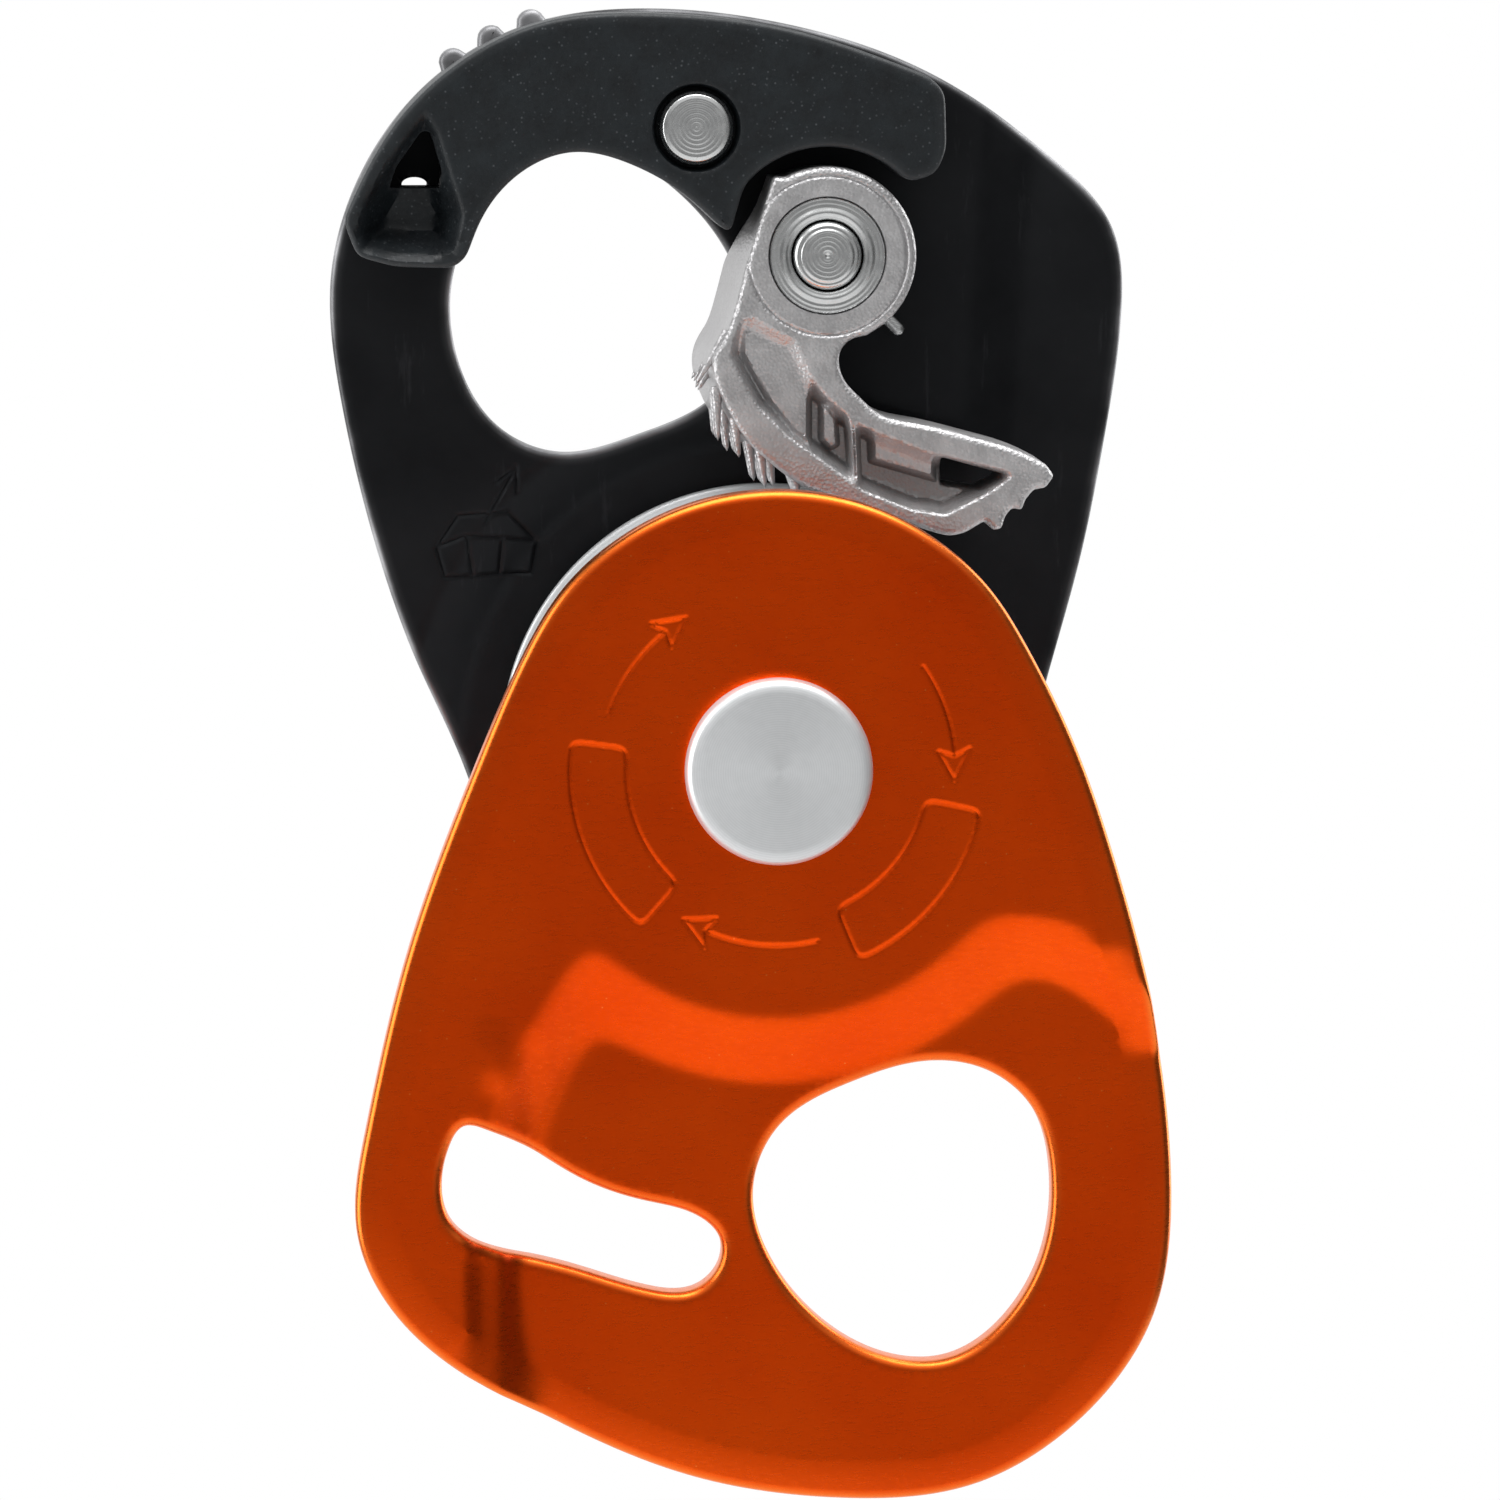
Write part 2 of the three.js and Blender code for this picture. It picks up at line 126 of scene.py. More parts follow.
def floor(radius, height):
    """A flat pale disc: radius times (cos a, sin a), closed to its middle."""
    angle = np.linspace(0, 2 * np.pi, 97)[:-1]
    rim = np.column_stack([radius * np.cos(angle), radius * np.sin(angle), np.full(96, height)])
    mesh = bpy.data.meshes.new("floor")
    mesh.from_pydata((rim + AXLE * [1, 1, 0]).tolist(), [], [list(range(96))])
    disc = bpy.data.objects.new("floor", mesh)
    bpy.context.scene.collection.objects.link(disc)
    paint = bpy.data.materials.new("pale_floor")
    paint.use_nodes = True
    white = paint.node_tree.nodes["Principled BSDF"]
    white.inputs["Base Color"].default_value = (0.62, 0.62, 0.62, 1)
    white.inputs["Roughness"].default_value = 0.8
    white.inputs["Emission Color"].default_value = (1, 1, 1, 1)
    white.inputs["Emission Strength"].default_value = 0.05
    mesh.materials.append(paint)
    disc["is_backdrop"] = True


area_light("lamp_above", (0.05, -0.10, 0.75), (0.9, 0.5), 6.5)
area_light("lamp_left", (-0.8, -0.12, 0.1), (0.5, 0.9), 5.0)
area_light("lamp_right", (0.7, 0.4, 0.2), (0.3, 0.8), 3.0)
floor(0.4, cad_box[0][2] - 0.16)

world = bpy.data.worlds.new("studio")
bpy.context.scene.world = world
world.use_nodes = True
sky = world.node_tree.nodes
behind = sky.new("ShaderNodeMapRange")
screen = sky.new("ShaderNodeMix")
screen.data_type = "RGBA"
screen.inputs[7].default_value = (1, 1, 1, 1)
behind.inputs["From Min"].default_value, behind.inputs["From Max"].default_value = 0.45, 0.7
side, far_side, dim = sky.new("ShaderNodeMath"), sky.new("ShaderNodeMapRange"), sky.new("ShaderNodeMix")
side.operation, dim.data_type = "ABSOLUTE", "RGBA"
dim.inputs[7].default_value = (0.10, 0.10, 0.10, 1)
far_side.inputs["From Min"].default_value, far_side.inputs["From Max"].default_value = 0.45, 0.85
up = sky.new("ShaderNodeSeparateXYZ")
shade = sky.new("ShaderNodeValToRGB")
backdrop = sky.new("ShaderNodeMix")
seen = sky.new("ShaderNodeLightPath")
level = sky.new("ShaderNodeMapRange")
backdrop.data_type = "RGBA"
level.inputs["From Min"].default_value = -1
shade.color_ramp.elements[0].color = (0.9, 0.9, 0.9, 1)
shade.color_ramp.elements[0].position = 0.3
shade.color_ramp.elements[1].color = (0.8, 0.8, 0.8, 1)
shade.color_ramp.elements[1].position = 0.8
for position, grey in ((0.40, 0.30), (0.6, 0.27)):
    shade.color_ramp.elements.new(position).color = (grey, grey, grey, 1)
backdrop.inputs[7].default_value = (1, 1, 1, 1)
wires = world.node_tree.links
wires.new(sky.new("ShaderNodeTexCoord").outputs["Generated"], up.inputs[0])
wires.new(up.outputs["Z"], level.inputs["Value"])
wires.new(level.outputs[0], shade.inputs[0])
wires.new(up.outputs["Y"], behind.inputs["Value"])
wires.new(behind.outputs[0], screen.inputs[0])
wires.new(up.outputs["X"], side.inputs[0])
wires.new(side.outputs[0], far_side.inputs["Value"])
wires.new(far_side.outputs[0], dim.inputs[0])
wires.new(shade.outputs[0], dim.inputs[6])
wires.new(dim.outputs[2], screen.inputs[6])
wires.new(screen.outputs[2], backdrop.inputs[6])
wires.new(seen.outputs["Is Camera Ray"], backdrop.inputs[0])
wires.new(backdrop.outputs[2], sky["Background"].inputs["Color"])

# %% [markdown]
# ## Small tools for finishes
#
# Each finish is a small graph of nodes. These helpers keep a graph as short as the sentence that
# describes it. Patterns read Object coordinates, which are the same metres as the shapes, so a grain
# of a tenth of a millimetre is a scale of about ten thousand.

# %% Graph helpers
def finish_graph(name, **constant):
    """A new material, its principled shader and its constant values set on the shader's own sockets."""
    material = bpy.data.materials.new(name)
    material.use_nodes = True
    shader = material.node_tree.nodes["Principled BSDF"]
    for key, value in constant.items():
        shader.inputs[key.replace("_", " ")].default_value = value
    return material, material.node_tree, shader


def place(tree, centre=(0, 0, 0), stretch=(1, 1, 1)):
    """Object coordinates counted from a centre, each axis stretched by its own factor."""
    mapping = tree.nodes.new("ShaderNodeMapping")
    mapping.inputs["Scale"].default_value = stretch
    mapping.inputs["Location"].default_value = -np.array(centre) * stretch
    tree.links.new(tree.nodes.new("ShaderNodeTexCoord").outputs["Object"], mapping.inputs[0])
    return mapping.outputs[0]


def noise(tree, vector, scale, detail=3.0, rough=0.55):
    """Cloudy values from 0 to 1 with features about 1 / scale metres across."""
    texture = tree.nodes.new("ShaderNodeTexNoise")
    for socket, value in (("Scale", scale), ("Detail", detail), ("Roughness", rough)):
        texture.inputs[socket].default_value = value
    tree.links.new(vector, texture.inputs["Vector"])
    return texture.outputs[0]


def cells(tree, vector, scale):
    """Distance to the nearest of many scattered points, 0 at each point."""
    texture = tree.nodes.new("ShaderNodeTexVoronoi")
    texture.inputs["Scale"].default_value = scale
    tree.links.new(vector, texture.inputs["Vector"])
    return texture.outputs["Distance"]


def rings(tree, vector, pitch):
    """Sine waves in circles about the Y axis, one every pitch metres."""
    texture = tree.nodes.new("ShaderNodeTexWave")
    texture.wave_type, texture.rings_direction = "RINGS", "Y"
    texture.inputs["Scale"].default_value = 2 * np.pi / 20 / pitch
    texture.inputs["Distortion"].default_value = 0.6
    tree.links.new(vector, texture.inputs["Vector"])
    return texture.outputs["Fac"]


def attribute(tree, name):
    """A value stored on the mesh's points."""
    node = tree.nodes.new("ShaderNodeAttribute")
    node.attribute_name = name
    return node.outputs["Fac"]


def remap(tree, value, low, high, to_low, to_high):
    """Straight line from (low, to_low) to (high, to_high), level outside."""
    node = tree.nodes.new("ShaderNodeMapRange")
    for i, number in enumerate((low, high, to_low, to_high)):
        node.inputs[i + 1].default_value = number
    tree.links.new(value, node.inputs[0])
    return node.outputs[0]


def arithmetic(tree, operation, first, second):
    """Two values joined by one operation; the second may be a number."""
    node = tree.nodes.new("ShaderNodeMath")
    node.operation = operation
    tree.links.new(first, node.inputs[0])
    if isinstance(second, (int, float)):
        node.inputs[1].default_value = second
    else:
        tree.links.new(second, node.inputs[1])
    return node.outputs[0]


def blend(tree, share, first, second):
    """Colours mixed by a share; each is a colour output or three numbers."""
    node = tree.nodes.new("ShaderNodeMix")
    node.data_type = "RGBA"
    tree.links.new(share, node.inputs[0])
    for socket, colour in ((node.inputs[6], first), (node.inputs[7], second)):
        if isinstance(colour, tuple):
            socket.default_value = (*colour, 1)
        else:
            tree.links.new(colour, socket)
    return node.outputs[2]


def bumps(tree, shader, *layers):
    """Height layers of (value, metres) added one on another, as the shader's normal."""
    normal = None
    for height, distance in layers:
        node = tree.nodes.new("ShaderNodeBump")
        node.inputs["Distance"].default_value = distance
        tree.links.new(height, node.inputs["Height"])
        if normal is not None:
            tree.links.new(normal, node.inputs["Normal"])
        normal = node.outputs[0]
    tree.links.new(normal, shader.inputs["Normal"])


# %% [markdown]
# ## Orange anodised aluminium
#
# Anodising leaves a clear glassy oxide over dyed metal. So the body is a metal with a saturated
# colour, and a thin coat over it gives a pale glint along the edges; the edges are also painted a paler
# orange, as a painted highlight. The sheet was brushed before it was dyed, which leaves a fine level grain,
# and handling adds pinpricks and a few hair scratches.

# %% Orange finish
def orange_anodised():
    """Dyed metal: colour drifts with a slow noise, grain runs level, specks come from scattered cells, and a
    paler orange on the edges is a painted highlight.
    """
    material, tree, shader = finish_graph("orange_anodised", Metallic=1.0, Coat_Weight=0.06,
                                          Coat_Roughness=0.1)
    here = place(tree)
    drift = noise(tree, here, 90, 4)
    grain = noise(tree, place(tree, stretch=(1, 1, 4)), 1500, 5, 0.7)
    speck = remap(tree, cells(tree, here, 900), 0.02, 0.06, 1, 0)
    colour = blend(tree, remap(tree, drift, 0.3, 0.7, 0, 1), (0.88, 0.066, 0.001), (0.99, 0.092, 0.002))
    colour = blend(tree, remap(tree, grain, 0.35, 0.65, 0, 0.22), colour, (0.66, 0.050, 0.0))
    colour = blend(tree, arithmetic(tree, "MULTIPLY", speck, 0.5), colour, (1.0, 0.30, 0.06))
    # Painted highlight: the edges are painted a paler yellow orange where the bright glint falls on them.
    painted_edge_highlight = arithmetic(tree, "MULTIPLY", attribute(tree, "wear"), 0.45)
    colour = blend(tree, painted_edge_highlight, colour, (1.0, 0.40, 0.07))
    tree.links.new(colour, shader.inputs["Base Color"])
    tree.links.new(remap(tree, grain, 0.3, 0.7, 0.24, 0.36), shader.inputs["Roughness"])
    bumps(tree, shader, (grain, 0.000005))
    return material


FINISH = {"orange_anodised": orange_anodised()}

# %% [markdown]
# ## Black anodised aluminium
#
# The same process with a black dye. It takes little light, so what shows is the sheen, faint scuffs where
# ropes and carabiners have rubbed, and bare bright metal where an edge has been knocked. On the thumb
# grips that bare grey also stands in as a painted highlight.

# %% Black finish
def black_anodised():
    """Near-black metal whose sheen varies; long thin noise makes scuffs, the edge value bares worn edges, and
    its bare grey on the grips is also a painted highlight.
    """
    material, tree, shader = finish_graph("black_anodised", Metallic=0.55, Specular_IOR_Level=0.3)
    here = place(tree)
    scuff = remap(tree, noise(tree, place(tree, stretch=(5, 1, 0.7)), 160, 5, 0.7), 0.60, 0.78, 0, 1)
    cloud = noise(tree, here, 120, 4)
    grain = noise(tree, here, 5200, 3)
    edge = arithmetic(tree, "MULTIPLY", attribute(tree, "wear"), remap(tree, cloud, 0.35, 0.65, 0.25, 1.0))
    colour = blend(tree, remap(tree, cloud, 0.3, 0.7, 0, 1), (0.007, 0.0075, 0.009), (0.014, 0.015, 0.017))
    colour = blend(tree, arithmetic(tree, "MULTIPLY", scuff, 0.25), colour, (0.10, 0.10, 0.11))
    # Bare grey on worn edges; on the grips it also stands in as a painted highlight.
    bare_metal_and_highlight = arithmetic(tree, "MULTIPLY", arithmetic(tree, "POWER", edge, 2.0), 0.8)
    colour = blend(tree, bare_metal_and_highlight, colour, (0.66, 0.66, 0.68))
    tree.links.new(colour, shader.inputs["Base Color"])
    tree.links.new(remap(tree, cloud, 0.3, 0.7, 0.36, 0.5), shader.inputs["Roughness"])
    bumps(tree, shader, (grain, 0.000004), (cloud, 0.00002))
    return material


FINISH["black_anodised"] = black_anodised()

# %% [markdown]
# ## Moulded black nylon
#
# The wear insert is glass-filled nylon. It is a blue-grey black with pale flecks of fibre, and it copies
# the mould's fine spark-eroded texture, so it is dull and a little rough.

# %% Nylon finish
def black_nylon():
    """Plastic with scattered flecks and two sizes of mould grain; edges rubbed paler by the edge value."""
    material, tree, shader = finish_graph("black_nylon", Metallic=0.0, Specular_IOR_Level=0.4)
    here = place(tree)
    fleck = remap(tree, cells(tree, here, 2600), 0.04, 0.22, 1, 0)
    patch = noise(tree, here, 600, 5, 0.65)
    grain = noise(tree, here, 4200, 4, 0.7)
    colour = blend(tree, remap(tree, patch, 0.3, 0.7, 0, 1), (0.003, 0.0045, 0.006), (0.010, 0.0145, 0.0175))
    flecks = arithmetic(tree, "MULTIPLY", fleck, remap(tree, patch, 0.4, 0.7, 0.2, 0.9))
    colour = blend(tree, flecks, colour, (0.12, 0.13, 0.14))
    rubbed = arithmetic(tree, "MULTIPLY", attribute(tree, "wear"), 0.10)
    colour = blend(tree, rubbed, colour, (0.20, 0.21, 0.22))
    tree.links.new(colour, shader.inputs["Base Color"])
    tree.links.new(remap(tree, grain, 0.3, 0.7, 0.38, 0.60), shader.inputs["Roughness"])
    bumps(tree, shader, (grain, 0.00002), (patch, 0.00003))
    return material


FINISH["black_nylon"] = black_nylon()

# %% [markdown]
# ## Investment-cast steel
#
# The cam is cast stainless steel, blasted with fine beads. Each bead leaves a dimple, so the surface is
# an even satin grey. Its pockets are painted darker the deeper they sink, as painted shade.

# %% Cast finish
def cast_steel():
    """Satin metal: small cells dimple it, a slow noise mottles it, and a stored depth paints shade into the
    pockets.
    """
    material, tree, shader = finish_graph("cast_steel", Metallic=0.75)
    here = place(tree)
    dimple = cells(tree, here, 5200)
    mottle = noise(tree, here, 500, 5, 0.65)
    colour = blend(tree, remap(tree, mottle, 0.3, 0.7, 0, 1), (0.46, 0.455, 0.46), (0.60, 0.595, 0.60))
    colour = blend(tree, remap(tree, dimple, 0.05, 0.5, 0.35, 0), colour, (0.70, 0.69, 0.70))
    # Painted shade: the pockets' colour is darkened by the stored depth value.
    colour = blend(tree, attribute(tree, "recess"), colour, (0.27, 0.265, 0.265))
    tree.links.new(colour, shader.inputs["Base Color"])
    tree.links.new(remap(tree, mottle, 0.3, 0.7, 0.34, 0.48), shader.inputs["Roughness"])
    bumps(tree, shader, (dimple, 0.000035), (mottle, 0.00004))
    return material


FINISH["cast_steel"] = cast_steel()

# %% [markdown]
# ## Turned metals
#
# Anything from a lathe keeps the tool's fine circles, which make the fan-shaped glint on a flat end.
# One function makes them all: the rings are centred on the axis that the piece was turned about.

# %% Lathe finishes
def turned_metal(name, centre, dark, light, roughness, depth, pitch=0.00014, metallic=1.0):
    """Metal with circular tool marks about one axis, and a faint cloud of handling."""
    material, tree, shader = finish_graph(name, Metallic=metallic, Anisotropic=0.55)
    round_it = tree.nodes.new("ShaderNodeTangent")
    round_it.direction_type, round_it.axis = "RADIAL", "Y"
    tree.links.new(round_it.outputs[0], shader.inputs["Tangent"])
    mark = rings(tree, place(tree, centre), pitch)
    cloud = noise(tree, place(tree), 1800, 5, 0.6)
    grain = noise(tree, place(tree), 6500, 2)
    colour = blend(tree, remap(tree, cloud, 0.3, 0.7, 0, 1), dark, light)
    colour = blend(tree, remap(tree, mark, 0.2, 0.8, 0, 0.18), colour, tuple(0.72 * c for c in dark))
    tree.links.new(colour, shader.inputs["Base Color"])
    tree.links.new(remap(tree, cloud, 0.3, 0.7, roughness, roughness + 0.05), shader.inputs["Roughness"])
    bumps(tree, shader, (mark, depth), (grain, 0.0000015))
    return material


def at(offset):
    """A point in the frame, from millimetres (x, z) about the main axle."""
    return AXLE + np.array([offset[0], 0, offset[1]]) * MM


STEEL = (0.62, 0.63, 0.63), (0.70, 0.71, 0.71)
GREY = (0.78, 0.795, 0.805), (0.81, 0.825, 0.835)
FINISH["axle_steel"] = turned_metal("axle_steel", AXLE, *STEEL, 0.22, 0.000003)
FINISH["pin_steel"] = turned_metal("pin_steel", at(CAM), *STEEL, 0.24, 0.000014, 0.00026)
FINISH["rivet_steel"] = turned_metal("rivet_steel", at(RIVET), *STEEL, 0.24, 0.000014, 0.00026)
FINISH["grey_alloy"] = turned_metal("grey_alloy", AXLE, *GREY, 0.36, 0.0000012, metallic=0.5)
FINISH["bronze"] = turned_metal("bronze", AXLE, (0.42, 0.25, 0.09), (0.56, 0.35, 0.14), 0.34, 0.000003)

# %% [markdown]
# ## Rubber and pale plastic
#
# The bearing's two seals are rubber, and a thin plastic washer lets the front cheek turn on the axle
# without scraping. Both sit inside, and show only through the gaps beside the sheave.

# %% Soft finishes
def soft_finish(name, dark, light, roughness, scale):
    """A dull moulded skin: two greys mixed by a cloud, with a fine pimpled grain."""
    material, tree, shader = finish_graph(name, Metallic=0.0, Specular_IOR_Level=0.45)
    cloud = noise(tree, place(tree), scale, 4)
    grain = noise(tree, place(tree), scale * 9, 3)
    tree.links.new(blend(tree, cloud, dark, light), shader.inputs["Base Color"])
    tree.links.new(remap(tree, grain, 0.3, 0.7, roughness, roughness + 0.15), shader.inputs["Roughness"])
    bumps(tree, shader, (grain, 0.000012))
    return material


FINISH["seal_rubber"] = soft_finish("seal_rubber", (0.010, 0.010, 0.010), (0.035, 0.034, 0.032), 0.6, 700)
FINISH["pale_plastic"] = soft_finish("pale_plastic", (0.46, 0.45, 0.41), (0.62, 0.61, 0.57), 0.4, 500)
print("finishes", sorted(FINISH))

# %% [markdown]
# ## Curves
#
# An outline is a few points on the edge of the sheet, joined by a cubic spline whose bend changes
# smoothly, because a light that runs along an edge shows every sudden change. Straight-sided shapes
# get their corners rounded instead.

# %% Curve helpers
def even(points, pitch, closed=True):
    """The same polyline with its points spaced evenly: each coordinate read off against length."""
    path = np.vstack([points, points[:1]]) if closed else np.asarray(points, float)
    length = np.concatenate([[0], np.cumsum(np.linalg.norm(np.diff(path, axis=0), axis=1))])
    count = max(3, int(round(length[-1] / pitch)))
    where = np.linspace(0, length[-1], count + 1)[:count if closed else None]
    return np.column_stack([np.interp(where, length, column) for column in path.T])


def spline(points, pitch, closed=True):
    """Cubic through the points: slopes solve the equations that make the bend continuous."""
    p = np.asarray(points, float)
    last = np.vstack([p[1:], p[:1]]) if closed else p[1:]
    first = p if closed else p[:-1]
    h = np.linalg.norm(last - first, axis=1)
    n = len(p)
    system, right = np.zeros((n, n)), np.zeros_like(p)
    i = np.arange(n) if closed else np.arange(1, n - 1)
    before, after = h[i - 1], h[i % len(h)]
    system[i, i - 1], system[i, i], system[i, (i + 1) % n] = after, 2 * (before + after), before
    rise, fall = (p[(i + 1) % n] - p[i]) / after[:, None], (p[i] - p[i - 1]) / before[:, None]
    right[i] = 3 * (before[:, None] * rise + after[:, None] * fall)
    if not closed:
        system[0, :2] = system[-1, :-3:-1] = 2, 1
        right[0], right[-1] = 3 * (p[1] - p[0]) / h[0], 3 * (p[-1] - p[-2]) / h[-1]
    slope = np.linalg.solve(system, right)
    t = np.linspace(0, 1, 33)[:-1, None, None]
    start, end = slope[:len(h)] * h[:, None], np.roll(slope, -1, 0)[:len(h)] * h[:, None]
    curve = ((1 + 2 * t) * (1 - t) ** 2 * first + t * (1 - t) ** 2 * start
             + t * t * (3 - 2 * t) * last - t * t * (1 - t) * end)
    dense = curve.transpose(1, 0, 2).reshape(-1, p.shape[1])
    return even(dense if closed else np.vstack([dense, p[-1:]]), pitch, closed)


def arc(radius, start, end, steps, centre=(0, 0)):
    """Points at one radius, from one angle in degrees to another."""
    angle = np.radians(np.linspace(start, end, steps + 1))
    return np.column_stack([np.cos(angle), np.sin(angle)]) * radius + centre


def rounded(points, radius, steps=6, closed=True):
    """Every corner replaced by a curve that leaves one side and meets the next, radius from the corner."""
    p = np.asarray(points, float)
    before, after = np.roll(p, 1, 0) - p, np.roll(p, -1, 0) - p
    reach_before = np.minimum(0.5, radius / np.linalg.norm(before, axis=1))[:, None]
    reach_after = np.minimum(0.5, radius / np.linalg.norm(after, axis=1))[:, None]
    t = np.linspace(0, 1, steps + 1)[:, None, None]
    leaves, meets = p + before * reach_before, p + after * reach_after
    turns = ((1 - t) ** 2 * leaves + 2 * t * (1 - t) * p + t * t * meets).transpose(1, 0, 2)
    if closed:
        return turns.reshape(-1, p.shape[1])
    return np.vstack([p[:1], turns[1:-1].reshape(-1, p.shape[1]), p[-1:]])


def soften(loop, reach):
    """A closed loop averaged along itself over the given reach, which rounds its corners."""
    pitch = np.linalg.norm(loop[1] - loop[0])
    steps = np.arange(-int(3 * reach / pitch) - 1, int(3 * reach / pitch) + 2)
    weight = np.exp(-0.5 * (steps * pitch / reach) ** 2)
    return sum(w * np.roll(loop, k, 0) for k, w in zip(steps, weight / weight.sum()))


def outward(loop):
    """Unit normals of a closed loop, pointing to the right of the way it runs."""
    along = np.roll(loop, -1, 0) - np.roll(loop, 1, 0)
    along /= np.linalg.norm(along, axis=1)[:, None]
    return np.column_stack([along[:, 1], -along[:, 0]])


def ramp(value, softness=0.3):
    """0 up to 0, straight to 1 at 1, level after; both bends rounded over the softness."""
    total = lambda u: np.where(u < 0, 0, np.where(u < 1, u * u / 2, u - 0.5))
    return (total(value + softness / 2) - total(value - softness / 2)) / softness


# %% [markdown]
# ## From numbers to a piece
#
# Every shape ends as one list of points and one of faces. Rows and bands that share an edge repeat its
# points, so doubles are merged, which also closes poles and seams. The signed volume then says
# whether the faces look outwards, and a count of open edges says whether the surface is closed.

# %% Mesh helpers
def quads(rows, columns, wrap_rows=False):
    """Four-cornered faces of a grid that closes on itself across its columns."""
    row = np.arange(rows if wrap_rows else rows - 1)[:, None]
    column = np.arange(columns)[None]
    below, beside = (row + 1) % rows, (column + 1) % columns
    corners = (row * columns + column, below * columns + column,
               below * columns + beside, row * columns + beside)
    return np.stack([c.ravel() for c in corners], 1)


def piece(name, body, slot, points, faces, finish, replaces=(), crease=38, **marks):
    """A mesh object from points in mm about the axle (x, y, z); marks are values stored on its points."""
    mesh = bpy.data.meshes.new(name)
    corners = [face for part in faces for face in part.tolist()]
    mesh.from_pydata((np.asarray(points) * MM + AXLE).tolist(), [], corners)
    for mark, values in marks.items():
        mesh.attributes.new(mark, "FLOAT", "POINT").data.foreach_set("value", np.asarray(values, np.float32))
    work = bmesh.new()
    work.from_mesh(mesh)
    bmesh.ops.remove_doubles(work, verts=work.verts, dist=2e-6)
    if work.calc_volume(signed=True) < 0:
        bmesh.ops.reverse_faces(work, faces=work.faces)
    opened = sum(not edge.is_manifold for edge in work.edges)
    work.to_mesh(mesh)
    work.free()
    mesh.shade_smooth()
    mesh.set_sharp_from_angle(angle=np.radians(crease))
    mesh.materials.append(FINISH[finish])
    made = bpy.data.objects.new(name, mesh)
    bpy.context.scene.collection.objects.link(made)
    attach(made, body)
    if replaces:
        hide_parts(*replaces)
    print(f"{name}: {len(mesh.polygons)} faces, {opened} open edges")
    return made


def lathe(profile, columns=128, centre=(0, 0), closed=False):
    """Points and faces of a profile of [radius, y] turned about Y: radius times (cos a, sin a)."""
    radius, y = np.asarray(profile, float).T
    angle = np.linspace(0, 2 * np.pi, columns + 1)[:-1]
    x = centre[0] + radius[:, None] * np.cos(angle)
    z = centre[1] + radius[:, None] * np.sin(angle)
    grid = np.stack([x, np.broadcast_to(y[:, None], x.shape), z], -1)
    return grid.reshape(-1, 3), [quads(len(radius), columns, closed)]


def turned(name, body, slot, finish, profile, fillet=0.15, replaces=True, **shape):
    """A lathe-turned piece; its corners are rounded, and a profile that ends off the axis is a ring."""
    ring = profile[0][0] > 0
    points, faces = lathe(rounded(profile, fillet, 4, closed=ring), closed=ring, **shape)
    return piece(name + "_turned", body, slot, points, faces, finish, (name,) if replaces else ())


# %% [markdown]
# ## Filling a sheet
#
# A pressed or cast plate is a flat outline with a relief on each face. Its face is a triangle net: a
# honeycomb of points, drawn finer where marks are cut, and joined to the points of every edge. Then each
# point is moved to the height of the relief. A boolean of solids would give sharper steps but no control
# over where the points fall, and the soft light on a formed sheet needs them spread evenly.

# %% Triangle net
def inside(points, loop):
    """Whether each point lies in a loop: odd crossings of a line drawn to the right."""
    x, z = points.T
    count = np.zeros(len(points), int)
    for (x0, z0), (x1, z1) in zip(loop, np.roll(loop, -1, 0)):
        crosses = (z0 > z) != (z1 > z)
        if crosses.any():
            count[crosses] += x[crosses] < (x1 - x0) * (z[crosses] - z0) / (z1 - z0) + x0
    return count % 2 == 1


def gap(points, path):
    """Distance from each point to the nearest point of a closely spaced path."""
    blocks = np.array_split(points, max(1, len(points) * len(path) // 4_000_000))
    return np.concatenate([np.sqrt(((b[:, None] - path) ** 2).sum(-1).min(1)) for b in blocks])


def honeycomb(low, high, pitch):
    """Points of a triangular lattice over a rectangle."""
    x, z = np.meshgrid(np.arange(low[0], high[0], pitch), np.arange(low[1], high[1], pitch * 0.866))
    x[1::2] += pitch / 2
    return np.column_stack([x.ravel(), z.ravel()])


def net(loops, pitch, lines=(), fine=None):
    """Triangles between loops, the first of them the outer one; fine is (pitch, reach) beside lines."""
    edge = np.vstack(loops)
    seeds = honeycomb(edge.min(0), edge.max(0), pitch)
    paths = list(loops) + [line for line in lines]
    if lines:
        near = np.vstack(lines)
        close = honeycomb(near.min(0) - fine[1], near.max(0) + fine[1], fine[0])
        close = close[gap(close, near) < fine[1]]
        close = close[gap(close, near) > 0.6 * fine[0]]
        seeds = seeds[gap(seeds, near) > fine[1] + 0.4 * pitch]
        seeds = np.vstack([seeds, close])
    kept = inside(seeds, loops[0])
    for hole in loops[1:]:
        kept &= ~inside(seeds, hole)
    seeds = seeds[kept]
    spare = (fine[0] if lines else pitch) * 0.5
    seeds = seeds[gap(seeds, edge) > spare]
    edges, start = [], 0
    for k, path in enumerate(paths):
        index = start + np.arange(len(path))
        ring = np.stack([index, np.roll(index, -1)], 1)
        closed = k < len(loops) or np.allclose(path[0], path[-1], atol=fine[0] * 1.5)
        edges.append(ring if closed else ring[:-1])
        start += len(path)
    everything = np.vstack(paths + [seeds])
    found = delaunay_2d_cdt([Vector(p) for p in everything.tolist()], np.vstack(edges).tolist(), [], 0, 1e-5)
    plan = np.array([v[:] for v in found[0]])
    triangles = np.array([f for f in found[2] if len(f) == 3])
    centre = plan[triangles].mean(1)
    kept = inside(centre, loops[0])
    for hole in loops[1:]:
        kept &= ~inside(centre, hole)
    return plan, triangles[kept]


# %% Sheet with rounded edges
# How far in from an edge the edge value reaches, in mm: wear on some finishes, painted highlight on others.
EDGE_REACH = 0.35


